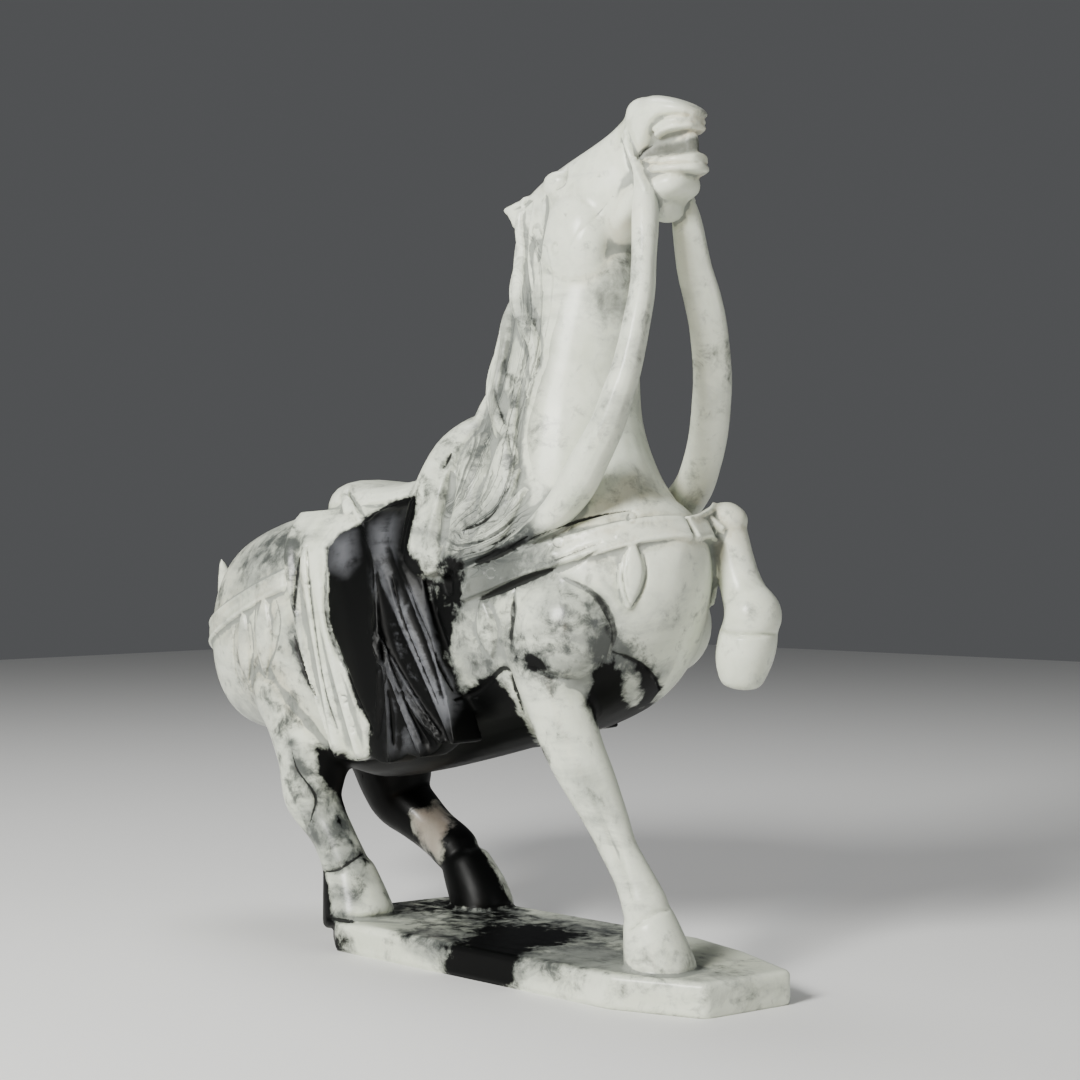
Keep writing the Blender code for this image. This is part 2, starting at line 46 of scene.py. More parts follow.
block = {
    "figureHeight": 0.332,  # plinth top to the top of the muzzle
    "plinthThickness": 0.013,
    "frontLedge": 0.0223,  # plinth showing in front of the planted fore hoof
    "rearLedge": 0.0005,  # and behind the near hind hoof
    "sideLedge": 0.0035,  # and beside the hooves
    "cornerCut": 0.014,
    "edgeRadius": 0.0022,
    "roughGrain": 0.0015,  # edge of the cubes that the rough body is cut to
    "fineGrain": 0.0007,  # and the finished carving
    "roughRubs": 6,  # rounds of rubbing smooth, of the rough body
    "fineRubs": 2,  # and of the finished carving
    "facets": 112000,  # the finished skin is thinned to these
    "longestEdge": 0.003,  # and what is longer is split
    "finestLine": 0.0008,  # half-width under which the facets no longer show a dark line
    # the hollows' depth sets the painted shade and residue laid in them
    "hollows": ((4, 0.00022), (40, 0.0012)),  # rounds of smoothing, and the depth of a full hollow
}

# the photograph's camera, which also places grooves and patches by their pixels in it
photo = {
    "side": 1080,
    "lens": 66.67,
    "sensor": 36.0,
    "turn": math.radians(43.5),
    "distance": 0.813,
    "aim": Vector((-0.008, 0.0, 0.173)),
}
photoBack = Vector((math.sin(photo["turn"]), -math.cos(photo["turn"]), 0.0))
photoRight = Vector((math.cos(photo["turn"]), math.sin(photo["turn"]), 0.0))
photoUp = Vector((0.0, 0.0, 1.0))
photoPlace = photo["aim"] + photoBack * photo["distance"]
pixelSpan = photo["sensor"] / photo["lens"] / photo["side"]
photoMiddle = photo["side"] / 2

# The figure's rows of numbers are shares of its height, 332 of them, with the feet standing at 12
shares = 332.0
footLevel = 12.0
share = block["figureHeight"] / shares


# the place of a point given in shares of the figure's height
def at(x, y, z):
    return Vector((x, y, z - footLevel)) * share + Vector((0.0, 0.0, block["plinthThickness"]))


# the rows as one smooth curve through all of them, read at t from 0 to 1
def rowAt(rows, t):
    span = min(max(t, 0.0), 1.0) * (len(rows) - 1)
    i = min(int(span), len(rows) - 2)
    f = span - i
    before = rows[max(i - 1, 0)]
    after = rows[min(i + 2, len(rows) - 1)]
    found = []
    for a, b, c, d in zip(before, rows[i], rows[i + 1], after):
        bend = (2 * a - 5 * b + 4 * c - d) * f * f + (3 * b - a - 3 * c + d) * f ** 3
        found.append(b + 0.5 * ((c - a) * f + bend))
    return found


def between(first, last, t):
    return first + (last - first) * t


def power(value, exponent):
    return math.copysign(abs(value) ** exponent, value)


# adds a finished form to the stone
def addForm(bm, form):
    mesh = bpy.data.meshes.new("form")
    form.to_mesh(mesh)
    form.free()
    bm.from_mesh(mesh)
    bpy.data.meshes.remove(mesh)


# a sphere pulled out along a spine. frameAt(t) gives the centre, and the side, out and back ways
def sweep(bm, frameAt, sides=20, rings=24, cap=0.1, square=2.0):
    form = bmesh.new()
    bmesh.ops.create_uvsphere(form, u_segments=sides, v_segments=rings, radius=1.0)
    frames = [frameAt(i / rings) for i in range(rings + 1)]
    for v in form.verts:
        ring = round(rings * math.acos(min(max(v.co.z, -1.0), 1.0)) / math.pi)
        angle = math.atan2(v.co.y, v.co.x)
        centre, side, out, back = frames[ring]
        nearEnd = min(ring, rings - ring) / rings / cap
        swell = math.sqrt(1.0 - (1.0 - min(nearEnd, 1.0)) ** 2)
        across = power(math.cos(angle), 2.0 / square) * swell
        deep = power(math.sin(angle), 2.0 / square) * swell
        v.co = centre + side * across + (out * deep if deep > 0 else back * -deep)
    addForm(bm, form)


# a form drawn from the side. A row is x, z of the upper edge, x, z of the lower and a half-width
def profile(bm, rows, **options):
    def frameAt(t):
        x1, z1, x2, z2, w = rowAt(rows, t)
        upper = at(x1, 0.0, z1)
        lower = at(x2, 0.0, z2)
        half = (upper - lower) / 2
        return (upper + lower) / 2, Vector((0.0, max(w, 0.0) * share, 0.0)), half, -half

    sweep(bm, frameAt, **options)


# a form along a spine. A row is x, y, z and a radius, or a half-width towards side and a half-depth
def limb(bm, rows, flip=1.0, side=(0.0, 1.0, 0.0), **options):
    def frameAt(t):
        here = rowAt(rows, t)
        ahead = rowAt(rows, min(t + 0.01, 1.0))
        behind = rowAt(rows, max(t - 0.01, 0.0))
        run = Vector(ahead[:3]) - Vector(behind[:3])
        run.y *= flip
        run.normalize()
        out = run.cross(Vector((side[0], side[1] * flip, side[2]))).normalized()
        broad = out.cross(run).normalized()
        w = max(here[3], 0.0) * share
        d = max(here[-1], 0.0) * share
        return at(here[0], here[1] * flip, here[2]), broad * w, out * d, out * -d

    sweep(bm, frameAt, **options)


# a round form with these half-sizes, turned if asked
def ball(bm, centre, radii, turn=None):
    form = bmesh.new()
    bmesh.ops.create_uvsphere(form, u_segments=20, v_segments=14, radius=1.0)
    for v in form.verts:
        local = Vector([v.co[i] * radii[i] * share for i in range(3)])
        v.co = centre + (turn @ local if turn else local)
    addForm(bm, form)


# The masses of the horse, from the side: upper x, z, lower x, z, half-width
torso = [
    (-209, 145, -208.5, 126, 4),
    (-203.5, 154.5, -204.5, 110, 13.5),
    (-194, 164.8, -198, 97.5, 22),
    (-178, 174.5, -182, 86.5, 32),
    (-152, 182.2, -153, 83, 40.5),
    (-125, 187, -125, 77, 44.5),
    (-98, 190, -98, 69, 44.5),
    (-70, 192, -70, 73, 44),
    (-40, 194, -40, 80, 43.5),
    (-10, 196, -10, 88, 43),
    (20, 196, 20, 96, 41.5),
    (42, 193, 42, 105.5, 37.5),
    (57, 188, 56, 118, 29),
    (66.5, 180, 65.5, 135.5, 19),
    (73.5, 171, 72.5, 154, 8.5),
]
neck = [
    (-60, 150, 62, 150, 36),
    (-54, 176, 62, 178, 38),
    (-42, 198, 48, 197, 34),
    (-29.5, 222, 40, 217, 28),
    (-22, 245, 39, 240, 24),
    (-16, 266, 40, 264, 20),
    (-13, 286, 39, 284, 16.4),
    (-11, 302, 26, 300, 13.5),
]
skull = [
    (-13, 303, -11, 291, 8),
    (-8.5, 311, -5, 284, 13),
    (2.5, 318, 6, 279.5, 16),
    (14, 323.2, 18, 275, 16.6),
    (26, 328.2, 31, 277, 15),
    (34, 332, 42, 289.5, 12.4),
    (40.5, 336.8, 50, 300, 9.8),
    (46, 341.4, 53, 311, 9.9),
    (53.5, 343, 56, 322.5, 11),
    (61, 341.6, 62, 329.8, 11.3),
    (69.5, 338.4, 70, 331.6, 10.2),
    (76.5, 333.8, 76, 331.4, 6.5),
]
lowerJaw = [
    (30, 302, 33, 284, 9),
    (42, 308, 45, 294, 10.5),
    (52, 312, 55, 300.5, 11),
    (61, 312, 62, 301.5, 11),
    (67.5, 312, 68, 303, 9.4),
    (71.5, 310, 71.5, 306, 5.6),
]
lowerLip = [
    (51, 315, 52, 310.5, 9.4),
    (60, 314.4, 60, 310.6, 10.8),
    (69, 314.2, 69, 310.6, 9.6),
    (77.5, 313.8, 77.5, 311, 4),
]
lowerTeeth = [
    (53, 319, 54, 311, 9.0),
    (62, 319, 62, 311, 9.8),
    (69.5, 318.6, 69.5, 311, 8.6),
    (76.5, 318.4, 76.5, 311, 4),
]
upperTeeth = [
    (58, 329, 59, 324.6, 8.4),
    (64, 331.5, 64, 326, 9.8),
    (70, 332, 70, 326.8, 8.8),
    (75, 331.5, 75, 327.4, 4.5),
]
tongue = [
    (44, 326, 44, 313, 7.5),
    (56, 328, 56, 314, 5),
    (66, 328.5, 66, 315, 4.2),
    (74.5, 328, 74.5, 316, 3),
]

# Limbs as spines: x, y, z and radius, or half-width and half-depth
nearFore = [
    (18, -26, 150, 21),
    (22.5, -28, 128, 15.8),
    (28.8, -28, 109, 12.9),
    (35.2, -27, 93, 11.6),
    (42, -26, 81, 10.5),
    (48.7, -23.5, 67, 8.6),
    (53.4, -22, 56, 7.4),
    (58.4, -21, 48, 7.4),
    (62, -20, 41, 8.1),
    (65, -19.5, 34.5, 9),
    (66, -19, 29, 8.6),
]
nearForeHoof = [(65, -19, 34, 8.8), (67.3, -18.5, 25, 11), (69.5, -17.5, 15, 13), (71, -17, 8, 14.2)]
farForeArm = [
    (28, 20, 158, 19),
    (44, 24, 167, 12.6),
    (55, 26, 172.3, 9.7),
    (63, 27, 177.5, 8.6),
    (67.5, 27, 179, 8),
    (69.5, 27, 175.5, 7.4),
]
farForeCannon = [
    (66.5, 27, 180.5, 7),
    (68.4, 27, 173, 7.4),
    (72, 27, 160, 8),
    (75.5, 27, 151, 9),
    (79.6, 27, 143.5, 11.4),
    (79, 27, 140, 10.6),
]
farForeHoof = [(78.6, 27, 141, 9.8), (77.4, 27, 134, 11.3), (75, 27, 124, 10.7), (73.8, 27, 113.5, 7)]
nearHind = [
    (-142, -19, 120, 26),
    (-126.5, -23, 98, 20.2),
    (-119, -26, 80, 16.6),
    (-118.6, -27, 68, 14),
    (-117.8, -27, 60, 12.6),
    (-112.8, -26, 52, 10.5),
    (-107, -25.5, 45, 9.4),
    (-102, -24.5, 36, 9.8),
    (-99, -24, 30, 10.8),
]
nearHindHoof = [(-100, -24, 34, 10.2), (-97, -23.5, 25, 12.4), (-94.5, -23, 16, 14.4), (-92, -23, 8, 16)]
farHind = [
    (-146, 19, 120, 28),
    (-138, 23, 98, 25),
    (-128.5, 26, 79, 20.5),
    (-123.5, 26.5, 62, 16.6),
    (-120, 27, 54.5, 14.2),
    (-110.5, 27.5, 48.5, 12),
    (-99.5, 28, 42, 10.4),
    (-88, 28, 36, 10.6),
    (-81, 28, 30, 11),
]
farHindHoof = [(-82, 28, 33, 10.2), (-76, 28, 24, 12), (-71, 28, 16, 13.2), (-68.5, 28, 8, 14.6)]
dock = [(-219, 0, 165, 0.5), (-216, 0, 156, 3.2), (-212, 0, 146, 5.6), (-209, 0, 132, 5), (-206, 0, 120, 4)]
reinSide = (0.707, -0.707, 0.0)  # the reins' broad way, forwards and outwards
rein = [
    (52, -11, 319, 1.1, 1.5),
    (56, -11.2, 309, 3.0, 3.2),
    (58.6, -12.2, 297, 5.7, 5.2),
    (60.3, -15, 278, 6.9, 4.8),
    (62, -18, 266, 7.4, 5),
    (62.3, -21.5, 254, 7.5, 5.3),
    (61, -25.5, 237, 7.7, 5.7),
    (58.5, -28, 226, 7.8, 6.2),
    (55, -30.5, 214, 7.8, 6.6),
    (50, -33, 203.5, 7.8, 7.2),
    (44, -34.5, 193, 8, 7.5),
    (35, -34.5, 184, 8.5, 6.5),
    (24, -34.5, 177, 8.5, 5),
    (12, -34.5, 171, 7.5, 3.5),
    (2, -34, 166, 5, 2),
]
saddleSeat = [
    (-124, 187, -122, 170, 8),
    (-119, 195, -117, 168, 18),
    (-108, 198.4, -108, 168, 26),
    (-92, 197.2, -92, 170, 28.5),
    (-72, 197, -72, 172, 29),
    (-52, 201, -52, 174, 27),
    (-34, 206, -34, 180, 22),
]
pommel = [
    (-31, -44.5, 157, 9.5, 2.5),
    (-30, -44, 172, 12, 4.5),
    (-27.5, -39.5, 190, 12, 7.5),
    (-26, -28, 206, 12, 9.5),
    (-24.5, -13, 214.5, 11.5, 9.5),
    (-24.5, 0, 216.5, 11, 9.5),
]
halter = [
    (45, -10.5, 331, 0.9, 1),
    (49, -11.5, 322, 1.5, 1.8),
    (53, -11, 313, 1.7, 2.2),
    (57, -9.5, 303, 1.8, 2.4),
]
pommelSkirt = [
    (-15, -18, 212, 12, 9),
    (-14, -28, 200, 12.5, 10),
    (-14, -34.5, 186, 11, 8),
    (-16, -38.5, 171, 10, 5.5),
    (-22, -42.5, 157, 8, 3.5),
]
saddleLip = [(-102, -19, 195, 2), (-98, -25, 191.5, 2.4), (-91, -30.5, 185, 2.4), (-79, -35, 176, 1.2)]
ear = [
    (-1, 9.5, 303, 3.2, 7.6),
    (-8, 10.5, 303, 3, 7),
    (-11, 11, 304, 2.5, 4.8),
    (-14, 11, 305, 1.8, 2.5),
    (-18, 11, 305.8, 0.6, 0.7),
]

# Straps and hanging leaves, as routes near the surface that they are laid on
breastStrap = [
    (-10, -46, 154),
    (12, -46, 161),
    (34, -43, 168),
    (52, -37, 174),
    (66, -22, 178),
    (75, 0, 180),
]
breastBand = (5.4, 2.4, 1.2)  # half-width, half-thickness and the half-width of its rims
crupperStrap = [(-207, 0, 119), (-200, -18, 127), (-178, -34, 135), (-150, -44, 145), (-118, -47, 157)]
crupperBand = (4.2, 1.9, 1.1)
tackLeaves = [  # top, tip and half-width
    ((-148, -43, 140), (-149, -43, 104), 5.4),
    ((-131, -45, 147), (-131, -45, 113), 6.4),
    ((63, -24, 171), (60, -24, 146), 5.2),
    ((2, -44, 149), (6, -44, 126), 5.2),
]
strapStuds = [(10, -46, 159), (36, -43, 168), (61, -30, 176)]
studRadius = 3.0
studHeight = 2.9
rimRise = 0.6  # how much higher than its strap a rim stands

# Round masses: centre on the left side, and half-sizes along x, y and z
chinWeb = ((58, 0, 300), (5.5, 11, 6.5))
muzzleHump = ((48.6, 0, 336.2), (6.9, 9.5, 7.2))
eye = ((13.5, 12.8, 313), (7, 4.6, 4.6))
cheek = ((21, 10.8, 289), (16, 10, 20))
shoulder = ((33, 30, 138), (20.5, 16.5, 20.5))


# torso, neck, head and legs without tack or hair
def roughBody(bm):
    profile(bm, torso, sides=36, rings=60, cap=0.03, square=2.2)
    profile(bm, neck, sides=32, rings=36, cap=0.04)
    profile(bm, skull, sides=28, rings=48, cap=0.06, square=2.2)
    profile(bm, lowerJaw, sides=24, rings=24, cap=0.1, square=3.0)
    profile(bm, tongue, sides=16, rings=16, cap=0.15)
    for centre, radii in (chinWeb, muzzleHump):
        ball(bm, at(*centre), radii)
    for flip in (1.0, -1.0):
        for (x, y, z), radii in (eye, cheek, shoulder):
            ball(bm, at(x, y * flip, z), radii)
    limb(bm, nearFore, rings=40)
    limb(bm, farForeArm, rings=24)
    limb(bm, farForeCannon, rings=24)
    limb(bm, nearHind, rings=36)
    limb(bm, farHind, rings=36)
    for rows in (nearForeHoof, farForeHoof, nearHindHoof, farHindHoof):
        limb(bm, rows, sides=24, rings=16, cap=0.12, square=2.15)
    limb(bm, dock, rings=20)


# all shapes of bm as one skin: cut to small cubes, then rubbed smooth
def cutFromBlock(name, bm, grain, smoothing):
    mesh = bpy.data.meshes.new(name)
    bm.to_mesh(mesh)
    bm.free()
    obj = bpy.data.objects.new(name, mesh)
    bpy.context.scene.collection.objects.link(obj)
    cut = obj.modifiers.new("cut", "REMESH")
    cut.mode = "VOXEL"
    cut.voxel_size = grain
    rub = obj.modifiers.new("rub", "SMOOTH")
    rub.factor = 0.5
    rub.iterations = smoothing
    graph = bpy.context.evaluated_depsgraph_get()
    made = bpy.data.meshes.new_from_object(obj.evaluated_get(graph))
    bpy.data.objects.remove(obj)
    bpy.data.meshes.remove(mesh)
    return made


# the body's surface, on which tack and hair are laid
def surfaceOf(mesh):
    bm = bmesh.new()
    bm.from_mesh(mesh)
    tree = BVHTree.FromBMesh(bm)
    bm.free()
    return tree


# a strip laid on the body. A row is x, y, z near the surface, a half-width and a half-thickness
def laid(bm, skin, rows, flip=1.0, lift=0.0, **options):
    knots = []
    steps = 4 * (len(rows) - 1)
    for i in range(steps + 1):
        x, y, z, w, d = rowAt(rows, i / steps)
        place, normal = skin.find_nearest(at(x, y * flip, z))[:2]
        place = place + normal * lift * share
        knots.append([*place, *normal, max(w, 0.0) * share, max(d, 0.0) * share])
    for _ in range(2):
        threes = zip(knots, knots[1:], knots[2:])
        knots[1:-1] = [[(a + 2 * b + c) / 4 for a, b, c in zip(*three)] for three in threes]

    def frameAt(t):
        here = rowAt(knots, t)
        run = Vector(rowAt(knots, min(t + 0.02, 1.0))[:3]) - Vector(rowAt(knots, max(t - 0.02, 0.0))[:3])
        out = Vector(here[3:6]).normalized()
        side = run.cross(out).normalized()
        return Vector(here[:3]), side * here[6], out * here[7], out * -here[7]

    sweep(bm, frameAt, **options)


# a band on both sides of the body, with a raised edge along each rim
def strap(bm, skin, route, halfWidth, thickness, rimWidth):
    for flip in (1.0, -1.0):
        band = [(*p, halfWidth, thickness) for p in route]
        laid(bm, skin, band, flip, rings=48, sides=12, cap=0.01, square=4.0)
        for rim in (-1, 1):
            rope = [(x, y, z + rim * halfWidth, rimWidth, thickness + rimRise) for x, y, z in route]
            laid(bm, skin, rope, flip, rings=48, sides=10, cap=0.02)


# a leaf hanging from a strap, broadest halfway down
def leaf(bm, skin, top, tip, halfWidth, flip):
    middle = [(a + b) / 2 for a, b in zip(top, tip)]
    rows = [(*top, 1.2, 1.4), (*middle, halfWidth, 2.0), (*tip, 0.5, 1.4)]
    laid(bm, skin, rows, flip, lift=0.5, rings=24, sides=16, cap=0.08, square=2.5)


def stud(bm, skin, x, y, z, flip):
    place, normal = skin.find_nearest(at(x, y * flip, z))[:2]
    ball(bm, place, (studRadius, studRadius, studHeight), normal.to_track_quat("Z", "Y"))


# a point of the neck's skin: height from 0, the root, to 1, turn from 0, the crest, to pi
def neckAt(height, turn):
    x1, z1, x2, z2, w = rowAt(neck, height)
    middleX = (x1 + x2) / 2
    middleZ = (z1 + z2) / 2
    x = middleX + (x1 - middleX) * math.cos(turn)
    return x, -w * math.sin(turn), middleZ + (z1 - middleZ) * math.cos(turn)


# Hair, with heights up the neck as shares of it
forelock = [
    (-4, -12, 310, 1.2, 1.5),
    (-6, -15, 296, 2.6, 2.6),
    (-6, -18, 280, 2.8, 2.6),
    (-5, -20, 262, 1.5, 1.2),
]
crestRidge = (0.14, 0.84)  # where the ridge starts, and how far up it runs
crestLocks = 9
crestLockTops = (0.97, 0.35)  # the first and the last
crestLockFall = 0.36  # how far down the neck each hangs
crestLockWave = 0.13
crestLockWaves = 2.3  # half waves along each
crestLockTurn = (0.1, 1.25, 0.35)  # turn at its root, how far round the neck it swings, and how unevenly
crestLockCurl = 1.45
crestLockPhases = (1.9, 2.1)  # so that neighbouring locks differ in wave and in swing
crestLockSizes = ((1.0, 3.2), (0.4, 3.6))  # half-width and half-thickness at the ends, and the rest halfway
sweepingLocks = 6
sweepingLockRoots = (0.52, 0.245)
sweepingLockTurn = (1.5, 0.35)  # turn of the first root, and how much further the last is
sweepingLockEnds = ((-5, -46, 186), (-10, -46, 165))
sweepingLockSide = -44  # how far out the middle of each lies


# a ridge along the crest, wavy locks down both sides, and long locks swept back to the saddle
def mane(bm, skin):
    crest = [neckAt(crestRidge[0] + crestRidge[1] * i / 8, 0.0) for i in range(9)]
    limb(bm, [(p[0] + 3, 0, p[2], 5.5, 5) for p in crest], rings=40, sides=16)
    for flip in (1.0, -1.0):
        laid(bm, skin, forelock, flip, lift=0.8, rings=24, sides=10, cap=0.06)
        for i in range(crestLocks):
            top = between(*crestLockTops, i / (crestLocks - 1))
            rows = []
            for k in range(6):
                fall = k / 5
                wave = crestLockWave * math.sin(crestLockWaves * math.pi * fall + crestLockPhases[0] * i)
                root, swing, uneven = crestLockTurn
                reach = swing + uneven * math.sin(crestLockPhases[1] * i)
                turn = root + reach * math.sin(crestLockCurl * fall) + wave
                p = neckAt(top - crestLockFall * fall, turn)
                body = math.sin(math.pi * (0.1 + 0.88 * fall))
                rows.append((*p, *[end + more * body for end, more in crestLockSizes]))
            laid(bm, skin, rows, flip, lift=0.5, rings=24, sides=10, cap=0.06)
        for i in range(sweepingLocks):
            down = i / (sweepingLocks - 1)
            turn = sweepingLockTurn[0] + sweepingLockTurn[1] * down
            start = neckAt(between(*sweepingLockRoots, down), turn)
            end = [between(a, b, down) for a, b in zip(*sweepingLockEnds)]
            middle = ((start[0] + end[0]) / 2 + 4, sweepingLockSide, (start[2] + end[2]) / 2 - 3)
            rows = [(*start, 1, 0.6), (*middle, 4.2, 3.2), (*end, 1.8, 1.6)]
            laid(bm, skin, rows, flip, lift=1.2, rings=24, sides=10, cap=0.06)


# Folds of the saddle cloth: place across it (0 rear, 1 front) at its top, middle and hem, half-width,
# height, and how far down it the fold starts
clothFolds = [
    (0.06, 0.01, -0.03, 0.036, 4.6, 0.0),
    (0.20, 0.14, 0.06, 0.044, 4.6, 0.0),
    (0.29, 0.22, 0.22, 0.026, 3.0, 0.2),
    (0.47, 0.42, 0.36, 0.100, 1.0, 0.0),
    (0.60, 0.64, 0.47, 0.024, 3.4, 0.35),
    (0.62, 0.62, 0.72, 0.022, 4.4, 0.5),
    (0.60, 0.61, 0.87, 0.022, 4.8, 0.5),
    (0.64, 0.83, 0.97, 0.046, 4.6, 0.0),
    (0.78, 0.96, 1.02, 0.036, 4.2, 0.0),
]
clothRear = ((-122, 184), (-85, 84))  # its rear edge, top and hem, as x, z
clothFront = ((-40, 188), (-8, 96))
hemScallop = 3.0  # height of the waves along the hem
hemWaves = 3.5
clothSag = 5.0  # how far the hem's middle hangs below its ends
clothLean = (45.5, 4.0)  # half-width over the barrel, and how much less at the hem
clothShoulder = (150, 42)  # the height from which the cloth leans in to the saddle, and over what height
clothStand = (1.5, 1.2)  # how far the cloth lies off the barrel, and how thick it is between folds
clothSink = 9.0  # depth of the inner face inside the body


# how far the folds stand out at u across the cloth and v down it
def foldHeight(u, v):
    height = 0.0
    for top, middle, hem, halfWidth, tall, start in clothFolds:
        place = top * (1 - v) * (1 - 2 * v) + middle * 4 * v * (1 - v) + hem * v * (2 * v - 1)
        begun = min(max((v - start) * 5.0 + 0.4, 0.0), 1.0)
        height += tall * begun * math.exp(-(((u - place) / halfWidth) ** 2))
    return height


# a point of the cloth on the near side, its folds standing out if lift is 1
def clothPoint(u, v, lift):
    rearX, rearZ = [between(a, b, v) for a, b in zip(*clothRear)]
    frontX, frontZ = [between(a, b, v) for a, b in zip(*clothFront)]
    x = between(rearX, frontX, u)
    hem = hemScallop * abs(math.sin(hemWaves * math.pi * u)) * v ** 4
    z = between(rearZ, frontZ, u) - hem - clothSag * math.sin(math.pi * u) * v
    halfWidth = rowAt(torso, (x - torso[0][0]) / (torso[-1][0] - torso[0][0]))[4]
    lean = clothLean[0] - clothLean[1] * v ** 3
    above = max(0.0, (z - clothShoulder[0]) / clothShoulder[1])
    off, thick = clothStand
    y = min(halfWidth + off, lean) * (1.0 - min(above, 1.0) ** 3) ** 0.5
    return x, -(y + lift * (thick + foldHeight(u, v) * (0.4 + 0.6 * v))), z


# a thick sheet over the barrel, its outer face in folds and its inner face inside the body
def saddleCloth(bm, flip):
    form = bmesh.new()
    bmesh.ops.create_grid(form, x_segments=64, y_segments=28, size=1.0)
    outer = {v: ((v.co.x + 1) / 2, (1 - v.co.y) / 2) for v in form.verts}
    grown = bmesh.ops.extrude_face_region(form, geom=form.faces[:])["geom"]
    inner = {v: ((v.co.x + 1) / 2, (1 - v.co.y) / 2) for v in grown if isinstance(v, bmesh.types.BMVert)}
    for group, lift, sink in ((outer, 1.0, 0.0), (inner, 0.0, clothSink)):
        for v, (u, fall) in group.items():
            x, y, z = clothPoint(u, fall, lift)
            v.co = at(x, (y + sink) * flip, z)
    addForm(bm, form)


# the saddle's front, an arch from one side of the withers to the other
def pommelArch(bm):
    arch = pommel + [(x, -y, z, w, d) for x, y, z, w, d in reversed(pommel[:-1])]

    def frameAt(t):
        x, y, z, w, d = rowAt(arch, t)
        ahead = Vector(rowAt(arch, min(t + 0.01, 1.0))[:3])
        run = ahead - Vector(rowAt(arch, max(t - 0.01, 0.0))[:3])
        side = Vector((1.0, 0.0, 0.0))
        out = side.cross(run).normalized()
        return at(x, y, z), side * w * share, out * d * share, out * -d * share

    sweep(bm, frameAt, rings=48, cap=0.06)


# saddle, cloth, straps, hanging leaves, halter and reins
def tack(bm, skin):
    profile(bm, saddleSeat, sides=24, rings=36, cap=0.08, square=2.6)
    pommelArch(bm)
    for flip in (1.0, -1.0):
        limb(bm, pommelSkirt, flip=flip, side=(1.0, 0.0, 0.0), rings=24, cap=0.12)
        limb(bm, saddleLip, flip=flip, rings=24, sides=12, cap=0.1)
    for flip in (1.0, -1.0):
        saddleCloth(bm, flip)
        limb(bm, rein, flip=flip, side=reinSide, rings=56, sides=16, cap=0.04)
        laid(bm, skin, halter, flip, rings=24, sides=10, cap=0.05)
        for top, tip, halfWidth in tackLeaves:
            leaf(bm, skin, top, tip, halfWidth, flip)
        for place in strapStuds:
            stud(bm, skin, *place, flip)
    strap(bm, skin, breastStrap, *breastBand)
    strap(bm, skin, crupperStrap, *crupperBand)


# lips, teeth and ears
def headDetails(bm):
    profile(bm, lowerLip, sides=28, rings=24, cap=0.1, square=3.0)
    profile(bm, lowerTeeth, sides=28, rings=24, cap=0.08, square=4.0)
    profile(bm, upperTeeth, sides=28, rings=24, cap=0.08, square=4.0)
    for flip in (1.0, -1.0):
        limb(bm, ear, flip=flip, rings=16, sides=14, cap=0.1)


# how far a hind hoof's edge lies from its middle, before the ledge beside it
nearHoofReach = 12.0
farHoofReach = 8.0


# a long slab with cut corners under the hooves, its edges rounded over. Its corners are in corner cuts
def plinth(bm):
    front = (nearForeHoof[-1][0] + nearForeHoof[-1][3]) * share + block["frontLedge"]
    rear = (nearHindHoof[-1][0] - nearHindHoof[-1][3]) * share - block["rearLedge"]
    near = (nearHindHoof[-1][1] - nearHoofReach) * share - block["sideLedge"]
    far = (farHindHoof[-1][1] + farHoofReach) * share + block["sideLedge"]
    cut = block["cornerCut"]
    outline = [
        (rear + 1.3 * cut, near),
        (front - 3.2 * cut, near),
        (front - 0.6 * cut, near + 0.9 * cut),
        (front, near + 3.8 * cut),
        (front - 2.5 * cut, far - 0.6 * cut),
        (front - 4.6 * cut, far),
        (rear + 2.4 * cut, far),
        (rear + 0.7 * cut, far - 0.4 * cut),
        (rear, near + 2.2 * cut),
        (rear + 0.15 * cut, near + 0.9 * cut),
    ]
    form = bmesh.new()
    face = form.faces.new([form.verts.new((x, y, 0.0)) for x, y in outline])
    top = bmesh.ops.extrude_face_region(form, geom=[face])["geom"]
    rise = Vector((0.0, 0.0, block["plinthThickness"]))
    bmesh.ops.translate(form, verts=[v for v in top if isinstance(v, bmesh.types.BMVert)], vec=rise)
    bmesh.ops.recalc_face_normals(form, faces=form.faces[:])
    edges = form.edges[:]
    bmesh.ops.bevel(form, geom=edges, offset=block["edgeRadius"], segments=3, profile=0.5, affect="EDGES")
    addForm(bm, form)


# drops any small closed skin that the cutting left inside the stone
def largestShell(bm):
    left = set(bm.verts)
    shells = []
    while left:
        start = left.pop()
        shell = [start]
        for v in shell:
            for e in v.link_edges:
                other = e.other_vert(v)
                if other in left:
                    left.discard(other)
                    shell.append(other)
        shells.append(shell)
    keep = max(shells, key=len)
    drop = [v for shell in shells if shell is not keep for v in shell]
    bmesh.ops.delete(bm, geom=drop, context="VERTS")


# the stone's surface that the photograph shows at this pixel, and the way that it faces
def stoneAt(skin, pixel):
    across = (pixel[0] - photoMiddle) * pixelSpan
    rise = (photoMiddle - pixel[1]) * pixelSpan
    return skin.ray_cast(photoPlace, photoRight * across + photoUp * rise - photoBack)[:2]


# where the photograph shows these places, in its pixels
def pixelsOf(places):
    away = places - np.array(photoPlace)
    depth = -(away @ np.array(photoBack))
    across = photoMiddle + away @ np.array(photoRight) / depth / pixelSpan
    down = photoMiddle - away @ np.array(photoUp) / depth / pixelSpan
    return np.stack([across, down], axis=1)


